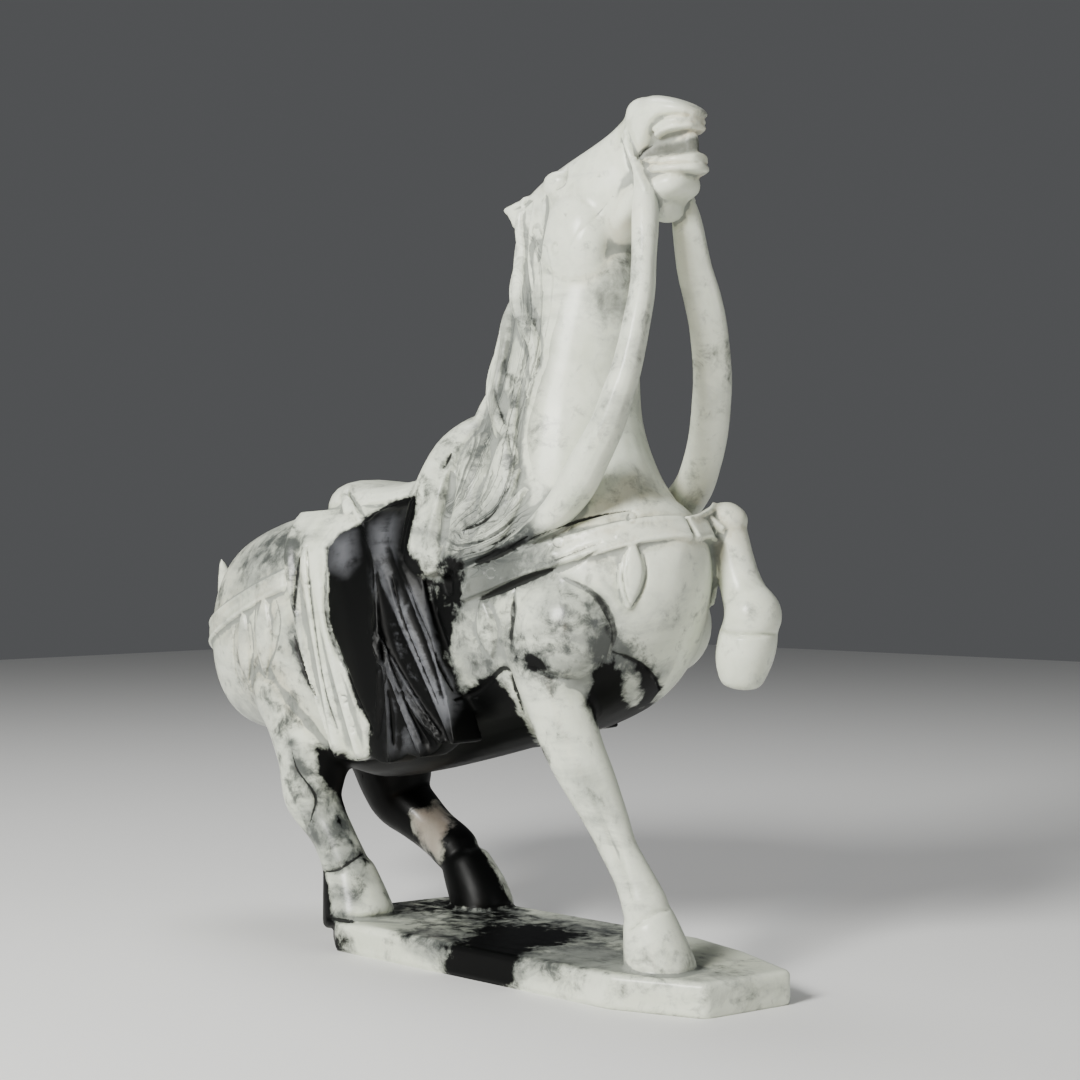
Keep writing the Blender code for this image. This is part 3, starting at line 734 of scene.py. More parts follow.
# a smooth line over the stone through the pixels given, and on both sides unless near is asked for
def linesOnStone(skin, pixels, sides="both"):
    steps = max(8, 5 * (len(pixels) - 1))
    near = []
    for i in range(steps + 1):
        place, facing = stoneAt(skin, rowAt(pixels, i / steps))
        if place is not None:
            near.append((place, facing))
    if len(near) < 2:
        return []
    lines = [near]
    if sides == "both":
        mirrored = []
        for place, facing in near:
            mirrored.append(skin.find_nearest(Vector((place.x, -place.y, place.z)))[:2])
        lines.append(mirrored)
    return [(np.array([p[:] for p, n in line]), np.array([n[:] for p, n in line])) for line in lines]


# how far each place is from the line, how far along it that is from 0 to 1, and the line's facing there
def nearness(places, line, facings):
    best = np.full(len(places), 1.0)
    along = np.zeros(len(places))
    facing = np.zeros((len(places), 3))
    for i in range(len(line) - 1):
        run = line[i + 1] - line[i]
        length = max(run @ run, 1e-12)
        f = np.clip((places - line[i]) @ run / length, 0.0, 1.0)
        distance = np.linalg.norm(places - line[i] - f[:, None] * run, axis=1)
        closer = distance < best
        best[closer] = distance[closer]
        along[closer] = (i + f[closer]) / (len(line) - 1)
        facing[closer] = facings[i]
    return best, along, facing


# the strength of a soft line at each place: 1 on it, falling off over its width and at its ends
def lineField(places, normals, line, facings, wide, blunt=False):
    field = np.zeros(len(places))
    low = line.min(axis=0) - 3 * wide
    high = line.max(axis=0) + 3 * wide
    close = np.flatnonzero(((places > low) & (places < high)).all(axis=1))
    if not len(close):
        return field
    distance, along, facing = nearness(places[close], line, facings)
    swell = 1.0 if blunt else 0.15 + 0.85 * np.sin(math.pi * np.clip(along, 0.0, 1.0)) ** 0.6
    same = (normals[close] * facing).sum(axis=1) > 0.0
    field[close] = np.exp(-((distance / (wide * swell)) ** 2)) * same * np.sqrt(swell)
    return field


# a small ring round a pixel, twelve points and back to the first
def ring(x, y, halfWide, halfTall):
    turns = [k * math.pi / 6 for k in range(13)]
    return [(x + halfWide * math.cos(turn), y + halfTall * math.sin(turn)) for turn in turns]


# Cuts and ridges: pixels, half-width and depth in metres (a ridge has a negative depth), the darkness
# painted along it as its shade with some residue, and near where the far side has none
cuts = {
    "lipFold": ([(651, 137), (660, 127), (680, 122), (697, 121)], 0.0009, 0.0007, 0.2),
    "mouthCorner": ([(637, 160), (644, 151), (655, 144)], 0.0008, 0.0008, 0.6),
    "teethGap": ([(641, 160), (660, 156), (680, 153), (697, 152)], 0.0007, 0.0006, 0.6),
    "lipGroove": ([(641, 164), (660, 163), (680, 162), (699, 162)], 0.0005, 0.0006, 0.2),
    "faceStep": ([(626, 112), (624, 130), (625, 150), (630, 170)], 0.0008, 0.0004, 0.1),
    "strapRidge": ([(622, 134), (628, 150), (637, 172), (646, 192)], 0.001, -0.0009, 0.0),
    "cheekLine": ([(613, 196), (596, 216), (578, 234), (566, 252)], 0.0005, 0.0003, 0.2),
    "jawRing": (ring(555, 249, 3.2, 5.5), 0.00055, 0.0005, 0.25),
    "eyeFront": ([(566, 160), (567, 172), (564, 184), (556, 190)], 0.0008, 0.0008, 0.2),
    "eyeLid": ([(549, 170), (557, 165), (563, 160)], 0.0007, 0.0005, 0.1),
    "templeHollow": ([(546, 196), (545, 215), (541, 240), (538, 262)], 0.0024, 0.0013, 0.0),
    "earHollow": ([(533, 200), (522, 206), (513, 209)], 0.0012, 0.0012, 0.3),
    "crestRidge": ([(536, 198), (532, 225), (530, 262), (533, 290)], 0.0011, -0.0009, 0.0),
    "strapTop": ([(462, 574), (495, 559), (530, 540), (570, 524), (606, 514), (640, 509)], 0.00055, 0.0007,
        0.8),
    "strapInner": ([(539, 566), (560, 558), (585, 548), (603, 542)], 0.0005, 0.0006, 0.5),
    "strapLow": ([(556, 574), (578, 563), (600, 550), (640, 538)], 0.0006, 0.0007, 0.3),
    "blackGrooveTop": ([(472, 567), (490, 560), (508, 549), (528, 537)], 0.0017, 0.0018, 1.0),
    "blackGrooveLow": ([(480, 599), (505, 588), (530, 577), (556, 568)], 0.0017, 0.0018, 1.0),
    "studOne": (ring(558, 541, 6, 6), 0.0006, 0.0006, 0.35),
    "studTwo": (ring(632, 517, 4.5, 5), 0.0006, 0.0006, 0.25),
    "studThree": (ring(490, 573, 5, 5), 0.0006, 0.0006, 0.4),
    "chestLeafLeft": ([(625, 554), (622, 572), (625, 592), (631, 606)], 0.0006, 0.0009, 0.4),
    "chestLeafRight": ([(644, 554), (647, 572), (642, 592), (632, 607)], 0.0006, 0.0009, 0.2),
    "chestLeafVein": ([(629, 556), (627, 575), (629, 592)], 0.0004, 0.0003, 0.3),
    "bulgeRight": ([(563, 578), (590, 592), (607, 612), (614, 634), (608, 660)], 0.0022, 0.0012, 0.3),
    "bulgeLeft": ([(514, 588), (513, 612), (510, 638), (516, 658)], 0.0015, 0.0014, 0.6),
    "bulgeBottom": ([(516, 658), (530, 668), (550, 677), (578, 680)], 0.0018, 0.0008, 0.2),
    "chestCrease": ([(612, 652), (640, 664), (655, 678), (660, 690)], 0.0012, 0.0012, 0.9, "near"),
    "legCrease": ([(455, 700), (480, 690), (505, 668), (516, 690), (524, 715)], 0.0013, 0.0012, 0.9,
        "near"),
    "elbowCrease": ([(452, 570), (448, 580), (450, 595)], 0.0016, 0.0022, 1.0, "near"),
    "maneGrooveTop": ([(462, 530), (475, 526), (485, 520), (496, 508), (504, 495), (511, 482)], 0.001,
        0.0012, 0.7),
    "maneGrooveSide": ([(493, 385), (499, 405), (507, 430), (511, 455)], 0.0008, 0.0008, 0.4),
    "pommelSlit": ([(452, 452), (448, 460), (443, 469)], 0.0008, 0.0012, 0.9),
    "pommelFold": ([(454, 463), (443, 482), (437, 505), (431, 528), (428, 541)], 0.0013, -0.0011, 0.0),
    "pommelValley": ([(450, 470), (450, 490), (445, 515), (440, 545)], 0.0022, 0.0016, 0.15),
    "pommelEdge": ([(420, 482), (410, 510), (403, 540), (404, 560)], 0.0009, 0.001, 0.4),
    "sweepOne": ([(460, 556), (480, 550), (500, 541), (520, 526)], 0.0006, 0.0006, 0.7),
    "sweepTwo": ([(463, 545), (482, 541), (500, 532), (514, 520)], 0.0006, 0.0006, 0.6),
    "sweepThree": ([(474, 562), (495, 552), (512, 541), (530, 527)], 0.0006, 0.0006, 0.7),
    "cantleLip": ([(343, 494), (349, 500), (356, 512), (364, 530)], 0.0011, -0.0011, 0.0),
    "cantleGroove": ([(350, 492), (357, 505), (366, 518)], 0.0009, 0.001, 0.3),
    "seatPanel": ([(366, 521), (380, 510), (396, 503), (413, 499)], 0.0009, 0.001, 0.6),
    "clothSlit": ([(293, 631), (299, 655), (307, 678), (316, 697)], 0.0009, 0.0016, 1.0),
    "clothCrease": ([(307, 545), (309, 580), (316, 640), (325, 690), (338, 730)], 0.0009, 0.0012, 0.5),
    "clothRim": ([(301, 548), (297, 580), (295, 612)], 0.0008, 0.001, 0.7),
    "panelEdge": ([(327, 545), (325, 590), (329, 630), (345, 668), (358, 700), (372, 728)], 0.001, 0.0012,
        0.5),
    "panelSeam": ([(363, 530), (375, 560), (377, 610), (379, 660), (376, 722)], 0.0009, -0.001, 0.0),
    "pleatOne": ([(380, 629), (390, 665), (405, 705), (422, 745)], 0.0007, -0.0012, 0.0),
    "pleatTwo": ([(376, 632), (398, 671), (420, 706), (441, 735)], 0.0007, -0.0013, 0.0),
    "pleatGrooveOne": ([(384, 640), (397, 680), (412, 715), (430, 745)], 0.001, 0.0012, 0.8),
    "pleatGrooveTwo": ([(388, 690), (392, 715), (394, 745)], 0.0009, 0.001, 0.7),
    "pleatGrooveThree": ([(383, 640), (384, 690), (378, 738)], 0.0009, 0.001, 0.9),
    "frontFoldOne": ([(392, 575), (402, 620), (420, 665), (438, 705)], 0.0012, 0.0014, 0.5),
    "frontFoldTwo": ([(406, 583), (420, 620), (438, 660), (454, 692)], 0.0012, 0.0014, 0.6),
    "frontFoldThree": ([(425, 575), (434, 610), (446, 645), (458, 680)], 0.001, 0.0012, 0.6),
    "hemCircleOne": (ring(343, 699, 3.5, 4), 0.0006, 0.0005, 0.3),
    "hemCircleTwo": (ring(351, 729, 3, 3), 0.0006, 0.0005, 0.3),
    "leafOneLeft": ([(236, 622), (233, 645), (236, 672), (243, 692)], 0.0006, 0.0008, 0.25),
    "leafOneRight": ([(250, 620), (253, 645), (251, 672), (245, 692)], 0.0006, 0.0008, 0.25),
    "leafTwoLeft": ([(257, 600), (254, 625), (258, 652), (265, 672)], 0.0006, 0.0008, 0.25),
    "leafTwoRight": ([(276, 600), (280, 622), (275, 650), (267, 672)], 0.0006, 0.0008, 0.25),
    "hindHoofLine": ([(327, 918), (340, 920), (358, 923)], 0.001, 0.0012, 1.0, "near"),
    "hindFetlock": ([(322, 872), (335, 870), (348, 863), (364, 853)], 0.0011, 0.0013, 0.9, "near"),
    "foreHoofBand": ([(629, 930), (640, 922), (655, 914), (672, 909)], 0.0012, 0.0012, 0.15, "near"),
    "raisedBand": ([(721, 630), (735, 634), (755, 635), (776, 634)], 0.0011, 0.0013, 0.3, "near"),
    "foreTendon": ([(590, 790), (606, 825), (620, 862), (632, 900)], 0.0022, 0.0009, 0.0, "near"),
    "hockCrease": ([(290, 745), (297, 770), (315, 795), (312, 815), (304, 838)], 0.0007, 0.0007, 0.9,
        "near"),
}

# hair lines run along these, each set in the order of its lines across the hair
hairGuides = {
    "crest": [
        [(536, 235), (545, 262), (546, 300), (541, 345), (528, 395), (518, 440), (514, 478), (500, 510),
         (468, 532)],
        [(531, 245), (537, 285), (538, 320), (532, 365), (520, 405), (511, 440), (503, 480), (488, 508),
         (464, 526)],
        [(524, 262), (528, 300), (528, 340), (520, 380), (509, 415), (501, 450), (493, 480), (478, 505),
         (460, 520)],
        [(517, 285), (519, 320), (516, 355), (508, 390), (500, 420), (492, 450), (483, 478), (470, 500),
         (456, 515)],
        [(510, 305), (509, 335), (505, 365), (497, 395), (490, 420), (482, 448), (472, 474), (462, 495),
         (451, 512)],
    ],
    "sweep": [
        [(462, 537), (478, 533), (493, 525), (506, 513), (514, 500)],
        [(460, 546), (480, 541), (498, 532), (512, 519)],
        [(459, 555), (480, 549), (500, 539), (520, 525)],
        [(463, 563), (483, 556), (504, 546), (526, 531)],
    ],
}
hairReach = 0.0062  # from a guide to the edge of its hair
hairLinesPerGuide = 3.6
hairBlend = 4e-7  # square of the distance within which a guide's hair no longer grows denser
hairGroupStep = 20.0  # so that the hairs of one group never run on in the next


# every corner's place and the way it faces, as arrays
def worldPlaces(mesh):
    places = np.empty(3 * len(mesh.vertices))
    mesh.vertices.foreach_get("co", places)
    normals = np.empty(3 * len(mesh.vertices))
    mesh.vertices.foreach_get("normal", normals)
    return places.reshape(-1, 3), normals.reshape(-1, 3)


# all cuts and ridges into the finished skin, before its facets are thinned
def engrave(mesh, skin):
    places, normals = worldPlaces(mesh)
    depth = np.zeros(len(places))
    for pixels, wide, deep, dark, *sides in cuts.values():
        for line, facings in linesOnStone(skin, pixels, *sides):
            depth += deep * lineField(places, normals, line, facings, wide)
    places -= normals * depth[:, None]
    mesh.vertices.foreach_set("co", places.ravel())
    mesh.update()


# long edges on the plain parts are split, so that the stone's colour can change along them
def splitLongEdges(mesh):
    bm = bmesh.new()
    bm.from_mesh(mesh)
    for _ in range(3):
        long = [e for e in bm.edges if e.calc_length() > block["longestEdge"]]
        bmesh.ops.subdivide_edges(bm, edges=long, cuts=1)
        bmesh.ops.triangulate(bm, faces=[f for f in bm.faces if len(f.verts) > 3])
    bm.to_mesh(mesh)
    bm.free()


def carveHorse():
    bm = bmesh.new()
    roughBody(bm)
    body = cutFromBlock("roughBody", bm, block["roughGrain"], block["roughRubs"])
    skin = surfaceOf(body)
    print("rough body cut")

    bm = bmesh.new()
    bm.from_mesh(body)
    bpy.data.meshes.remove(body)
    plinth(bm)
    headDetails(bm)
    tack(bm, skin)
    mane(bm, skin)
    mesh = cutFromBlock("horseCarving", bm, block["fineGrain"], block["fineRubs"])
    print("tack, mane and plinth cut:", len(mesh.polygons), "faces")

    bm = bmesh.new()
    bm.from_mesh(mesh)
    largestShell(bm)
    for v in bm.verts:
        if v.co.z < block["fineGrain"]:
            v.co.z = 0.0
    faces = 2 * len(bm.faces)  # each is four-sided and thins as two facets
    bm.to_mesh(mesh)
    bm.free()
    engrave(mesh, surfaceOf(mesh))
    print("grooves and ridges cut")

    horse = bpy.data.objects.new("horseCarving", mesh)
    bpy.context.scene.collection.objects.link(horse)
    bpy.context.view_layer.objects.active = horse
    horse.select_set(True)
    thin = horse.modifiers.new("facets", "DECIMATE")
    thin.ratio = block["facets"] / faces
    bpy.ops.object.modifier_apply(modifier="facets")
    splitLongEdges(horse.data)
    bpy.ops.object.shade_smooth()
    print("facets thinned to", len(horse.data.polygons))
    return horse


horse = carveHorse()


# Patches of the stone's colour, of painted shade and of painted sheen: kind, strength, softness in pixels,
# where on the figure, corners in pixels
patches = {
    "clothPanel": ("black", 1.2, 5, "both", [(328, 548), (340, 536), (352, 530), (370, 520), (392, 506),
        (413, 500), (408, 530), (398, 558), (388, 575), (384, 600), (382, 640), (380, 690), (376, 728),
        (360, 706), (346, 668), (330, 622)]),
    "saddlePanel": ("black", 1.0, 6, "both", [(366, 520), (384, 506), (413, 498), (408, 540), (400, 566),
        (384, 585), (370, 560)]),
    "frontFolds": ("black", 1.05, 12, "both", [(398, 548), (420, 562), (436, 600), (448, 650), (462, 700),
        (468, 740), (440, 752), (376, 762), (372, 700), (378, 640), (384, 585), (396, 556)]),
    "belly": ("black", 1.3, 10, "both", [(316, 748), (345, 756), (370, 764), (400, 758), (436, 740),
        (452, 712), (472, 690), (490, 676), (505, 690), (519, 716), (532, 740), (545, 762), (520, 800),
        (430, 860), (350, 810), (322, 780)]),
    "strapEnd": ("black", 0.85, 10, "both", [(438, 570), (452, 556), (464, 564), (462, 604), (452, 640),
        (442, 640)]),
    "clothHem": ("black", 0.9, 8, "both", [(372, 742), (396, 736), (430, 740), (455, 724), (452, 742),
        (410, 764), (376, 768)]),
    "chestBottom": ("black", 1.1, 9, "near", [(590, 676), (600, 664), (612, 662), (620, 672), (622, 694),
        (634, 725), (600, 730), (586, 705)]),
    "chestBlotch": ("black", 0.95, 8, "near", [(636, 664), (648, 666), (658, 680), (660, 705), (648, 722),
        (640, 695)]),
    "bellyFront": ("black", 1.0, 8, "far", [(590, 705), (640, 706), (660, 690), (640, 730), (590, 730)]),
    "bulgeBlot": ("black", 0.75, 9, "near", [(516, 655), (535, 652), (550, 664), (548, 676), (533, 674)]),
    "farHindLeg": ("black", 1.2, 7, "far", [(330, 745), (450, 745), (452, 800), (480, 850), (520, 915),
        (425, 918), (425, 880), (350, 800)]),
    "farHindBare": ("black", -1.1, 9, "far", [(408, 806), (436, 800), (458, 820), (448, 838), (440, 866),
        (415, 838)]),
    "hindLegBack": ("black", 1.1, 4, "near", [(312, 850), (322, 866), (330, 890), (332, 925), (326, 950),
        (310, 940)]),
    "hindLegFront": ("black", 0.9, 5, "near", [(338, 812), (348, 838), (370, 862), (366, 866), (352, 846),
        (336, 824)]),
    "hindBase": ("black", 1.0, 6, "near", [(322, 924), (334, 926), (342, 950), (330, 955), (320, 940)]),
    "plinthBand": ("black", 1.2, 9, "plinth", [(448, 950), (474, 940), (520, 934), (562, 934), (524, 948),
        (508, 955), (506, 988), (478, 988), (448, 980)]),
    "plinthStreak": ("black", 0.7, 9, "plinth", [(405, 938), (440, 926), (500, 918), (560, 922), (620, 938),
        (560, 944), (470, 936)]),
    "plinthRear": ("black", 0.7, 9, "plinth", [(390, 902), (450, 896), (520, 902), (520, 914), (430, 914),
        (396, 912)]),
    # painted sheen: the lamps' reflection on the black cloth, laid on as a smoky grey
    "panelSheen": ("paintedSheen", 0.55, 9, "both", [(332, 540), (352, 534), (354, 560), (345, 572), (331, 566)]),
    "seatSheen": ("paintedSheen", 0.6, 9, "both", [(374, 528), (392, 520), (390, 560), (386, 600), (376, 590)]),
    "foldSheen": ("paintedSheen", 0.75, 9, "both", [(394, 600), (414, 590), (438, 650), (458, 700), (446, 722),
        (414, 690), (388, 640)]),
    "hemSheen": ("paintedSheen", 0.45, 8, "both", [(384, 660), (412, 700), (420, 745), (392, 750)]),
    "maneGrey": ("grey", 0.6, 12, "both", [(512, 300), (536, 290), (540, 350), (528, 400), (518, 450),
        (520, 500), (540, 530), (520, 560), (470, 600), (452, 560), (466, 500), (480, 430), (495, 360)]),
    "strapGrey": ("grey", 0.85, 14, "both", [(455, 570), (500, 550), (550, 536), (552, 566), (480, 598),
        (460, 600)]),
    "shoulderGrey": ("grey", 0.75, 22, "near", [(540, 585), (605, 600), (612, 650), (590, 685), (520, 685),
        (510, 640)]),
    "chestGrey": ("grey", 0.6, 22, "near", [(590, 640), (690, 600), (700, 660), (650, 705), (600, 700)]),
    "flankGrey": ("grey", 0.8, 16, "both", [(430, 590), (500, 590), (512, 640), (500, 690), (462, 690),
        (440, 650)]),
    "rumpGrey": ("grey", 0.55, 24, "both", [(215, 560), (290, 530), (320, 700), (290, 790), (230, 730)]),
    "rumpTop": ("grey", 0.7, 10, "both", [(236, 560), (270, 530), (330, 520), (330, 540), (290, 560),
        (240, 590)]),
    "plinthGrey": ("grey", 0.9, 14, "plinth", [(392, 925), (470, 905), (600, 915), (640, 940), (600, 975),
        (520, 985), (420, 960)]),
    "hindLegGrey": ("grey", 0.75, 10, "near", [(290, 740), (350, 770), (350, 830), (310, 845), (288, 800)]),
    "hindFootGrey": ("grey", 0.9, 8, "near", [(306, 835), (345, 820), (366, 856), (372, 880), (350, 925),
        (330, 920), (326, 870)]),
    "foreLegGrey": ("grey", 0.5, 14, "near", [(500, 700), (560, 690), (610, 800), (660, 910), (630, 920),
        (570, 810)]),
    "faceGrey": ("grey", 0.35, 10, "both", [(534, 195), (558, 190), (556, 240), (540, 270)]),
    "pommelGrey": ("grey", 0.75, 14, "both", [(440, 440), (480, 420), (490, 440), (468, 500), (448, 560),
        (402, 566), (405, 520), (420, 475)]),
    "neckGrey": ("grey", 0.3, 22, "both", [(575, 300), (650, 260), (640, 420), (600, 430)]),
    "plinthFrontGrey": ("grey", 0.3, 22, "plinth", [(560, 925), (700, 940), (790, 985), (700, 1010),
        (600, 990)]),
    "farLegBrown": ("brown", 0.9, 10, "far", [(402, 800), (440, 795), (462, 825), (446, 850), (440, 872),
        (412, 845)]),
    "chestCream": ("cream", 0.45, 20, "both", [(560, 480), (700, 480), (700, 560), (560, 560)]),
    "rumpCream": ("cream", 0.7, 24, "both", [(215, 560), (290, 540), (300, 720), (230, 700)]),
    "jawCream": ("cream", 0.8, 12, "both", [(560, 268), (600, 262), (628, 196), (640, 210), (612, 270),
        (575, 286)]),
    "lipCream": ("cream", 0.8, 8, "both", [(640, 120), (700, 105), (706, 170), (650, 180), (636, 150)]),
    "shoulderGreen": ("green", 1.0, 8, "near", [(568, 492), (584, 488), (588, 504), (574, 514),
        (564, 506)]),
    "reinGreen": ("green", 0.6, 14, "near", [(560, 470), (600, 400), (620, 410), (590, 480), (560, 500)]),
    # painted shade in the mouth and under the jaw; darker grey over the strap and beside the front folds
    "mouthShade": ("shadeAndDarkGrey", 1.1, 4, "both", [(641, 157), (650, 149), (664, 143), (699, 137), (697, 152),
        (668, 155)]),
    "strapDarkGrey": ("shadeAndDarkGrey", 0.35, 16, "both", [(452, 560), (500, 550), (545, 536), (560, 566), (500, 600),
        (452, 610)]),
    "foldDarkGrey": ("shadeAndDarkGrey", 0.35, 14, "both", [(430, 560), (470, 560), (480, 640), (500, 700), (470, 690),
        (440, 640)]),
    "jawShade": ("shadeAndDarkGrey", 0.62, 12, "near", [(585, 290), (608, 262), (632, 240), (640, 262), (622, 320),
        (600, 330)]),
}

# Dark veins, and dark lines painted along creases and undercuts as their shade: pixels, half-width in
# metres, strength, where
veins = [
    ([(563, 576), (590, 590), (608, 612), (616, 634), (610, 664), (596, 690)], 0.003, 0.5, "near"),
    ([(513, 586), (514, 620), (510, 645), (519, 664), (545, 676), (578, 679)], 0.002, 0.5, "near"),
    ([(598, 610), (606, 622), (614, 648)], 0.0022, 0.7, "near"),
    ([(610, 650), (640, 664), (655, 682)], 0.002, 0.8, "near"),
    ([(290, 742), (297, 768), (314, 794), (316, 812), (308, 832)], 0.0008, 0.9, "near"),
    ([(322, 870), (338, 868), (352, 860), (364, 853)], 0.001, 0.9, "near"),
    ([(326, 918), (340, 920), (357, 923)], 0.0009, 1.0, "near"),
    ([(320, 852), (334, 848), (341, 836), (338, 822)], 0.0022, 0.7, "near"),
    ([(474, 563), (490, 558), (508, 548), (530, 535)], 0.0018, 1.0, "both"),
    ([(478, 601), (505, 590), (530, 578), (556, 569)], 0.0018, 1.0, "both"),
    ([(458, 532), (475, 526), (487, 519), (497, 507), (505, 494)], 0.001, 0.8, "both"),
    ([(494, 390), (500, 412), (508, 436), (512, 458)], 0.0009, 0.5, "both"),
    ([(535, 300), (534, 330), (537, 355), (545, 375)], 0.002, 0.45, "both"),
    ([(503, 345), (506, 372), (516, 400)], 0.0014, 0.45, "both"),
    ([(592, 790), (602, 802), (606, 812)], 0.002, 0.55, "near"),
    ([(560, 735), (575, 770), (590, 790)], 0.0014, 0.35, "near"),
    ([(293, 550), (292, 590), (298, 640)], 0.0012, 0.7, "both"),
    ([(450, 566), (448, 580), (450, 596)], 0.0018, 1.0, "near"),
    ([(455, 640), (470, 660), (490, 668)], 0.0016, 0.6, "near"),
    ([(380, 498), (400, 492), (414, 490)], 0.0012, 0.5, "both"),
    ([(293, 631), (299, 655), (307, 678), (316, 697)], 0.0014, 1.0, "both"),
    ([(440, 795), (430, 815), (442, 832)], 0.001, 0.4, "far"),
    ([(462, 822), (448, 840), (444, 850)], 0.0012, 1.0, "far"),
    ([(400, 930), (430, 922), (470, 916)], 0.0018, 0.8, "plinth"),
    ([(420, 944), (460, 930), (520, 924)], 0.002, 0.6, "plinth"),
]


# round a crease line this grey is painted shade
veinHalo = (0.5, 3.2)  # the grey round a vein: its share of the vein's strength, and of its width
zoneEdges = {"plinth": 0.002, "near": 0.004, "far": -0.002}  # how far each zone runs past its edge


# how far inside the patch each pixel is: 1 well inside it, 0 well outside
def insidePatch(pixels, corners, soft):
    inside = np.zeros(len(pixels), bool)
    nearest = np.full(len(pixels), 1e9)
    for (ax, ay), (bx, by) in zip(corners, corners[1:] + corners[:1]):
        run = np.array([bx - ax, by - ay], float)
        away = pixels - np.array([ax, ay], float)
        f = np.clip(away @ run / max(run @ run, 1e-9), 0.0, 1.0)
        nearest = np.minimum(nearest, np.linalg.norm(away - f[:, None] * run, axis=1))
        crosses = (ay > pixels[:, 1]) != (by > pixels[:, 1])
        if ay != by:
            inside ^= crosses & (pixels[:, 0] < ax + (pixels[:, 1] - ay) * (bx - ax) / (by - ay))
    signed = np.where(inside, nearest, -nearest)
    return np.clip(0.5 + 0.5 * signed / soft, 0.0, 1.0)


# the places that a patch of this zone may colour, and each place as the photograph would see it
def zoneOf(places, where):
    seen = places.copy()
    onPlinth = places[:, 2] < block["plinthThickness"] + zoneEdges["plinth"]
    if where == "both":
        seen[:, 1] = -np.abs(seen[:, 1])
        return ~onPlinth, seen
    if where == "near":
        return places[:, 1] < zoneEdges["near"], seen
    if where == "far":
        return (places[:, 1] > zoneEdges["far"]) & ~onPlinth, seen
    return onPlinth, seen


# how far the skin lies below its surroundings, these taken wider with each round: above 0 in hollows
def hollowness(mesh, places, normals, rounds):
    ends = np.empty(2 * len(mesh.edges), int)
    mesh.edges.foreach_get("vertices", ends)
    first, second = ends.reshape(-1, 2).T
    count = np.bincount(ends, minlength=len(places))
    around = places.copy()
    for _ in range(rounds):
        total = np.empty_like(around)
        for axis in range(3):
            total[:, axis] = np.bincount(first, around[second, axis], len(places))
            total[:, axis] += np.bincount(second, around[first, axis], len(places))
        around = total / count[:, None]
    return ((around - places) * normals).sum(axis=1)


# the hair's cover, and a number that rises across it and stays the same along each hair
def combHair(places, normals, skin, guides, start, fields):
    cover = np.zeros(len(places))
    strand = np.zeros(len(places))
    weights = np.full(len(places), 1e-9)
    for order, pixels in enumerate(guides):
        for line, facings in linesOnStone(skin, pixels):
            low = line.min(axis=0) - 2 * hairReach
            high = line.max(axis=0) + 2 * hairReach
            close = np.flatnonzero(((places > low) & (places < high)).all(axis=1))
            distance, along, facing = nearness(places[close], line, facings)
            same = (normals[close] * facing).sum(axis=1) > 0.0
            weight = same / (distance ** 2 + hairBlend) ** 1.5
            weights[close] += weight
            strand[close] += weight * order
            near = np.clip(1.5 - distance / hairReach, 0.0, 1.0) * same
            cover[close] = np.maximum(cover[close], near)
    wins = cover > fields["hair"]
    fields["hair"][wins] = cover[wins]
    fields["strand"][wins] = start + strand[wins] / weights[wins] * hairLinesPerGuide


# lays every field of colour on the skin's corners, where the stone reads it
def paintFields(mesh, skin):
    places, normals = worldPlaces(mesh)
    kinds = ("black", "grey", "brown", "cream", "green", "veinsAndGrooveShade", "strand", "hair", "hollow", "paintedSheen", "shadeAndDarkGrey")
    fields = {kind: np.zeros(len(places)) for kind in kinds}
    # the hollows, which the stone is painted darker in: painted shade, and residue in the small ones
    for rounds, deep in block["hollows"]:
        fields["hollow"] += np.clip(hollowness(mesh, places, normals, rounds) / deep, -0.4, 1.0)
    for kind, strength, soft, where, corners in patches.values():
        allowed, seen = zoneOf(places, where)
        field = np.zeros(len(places))
        field[allowed] = insidePatch(pixelsOf(seen[allowed]), corners, soft)
        fields[kind] += strength * field
    for pixels, wide, strength, where in veins:
        for line, facings in linesOnStone(skin, pixels, "both" if where == "both" else "near"):
            dark = strength * lineField(places, normals, line, facings, wide)
            fields["veinsAndGrooveShade"] = np.maximum(fields["veinsAndGrooveShade"], dark)
            halo = lineField(places, normals, line, facings, veinHalo[1] * wide, True)
            fields["grey"] += veinHalo[0] * strength * halo
    # dark lines along the grooves: painted shade, with some residue
    for pixels, wide, deep, dark, *sides in cuts.values():
        if dark:
            for line, facings in linesOnStone(skin, pixels, *sides):
                grooveShade = dark * lineField(places, normals, line, facings, max(wide, block["finestLine"]))
                fields["veinsAndGrooveShade"] = np.maximum(fields["veinsAndGrooveShade"], grooveShade)
    for start, guides in enumerate(hairGuides.values()):
        combHair(places, normals, skin, guides, hairGroupStep * start, fields)
    for kind, field in fields.items():
        layer = mesh.attributes.new(kind, "FLOAT", "POINT")
        layer.data.foreach_set("value", field.astype(np.float32))


print("colour laid out")
paintFields(horse.data, surfaceOf(horse.data))


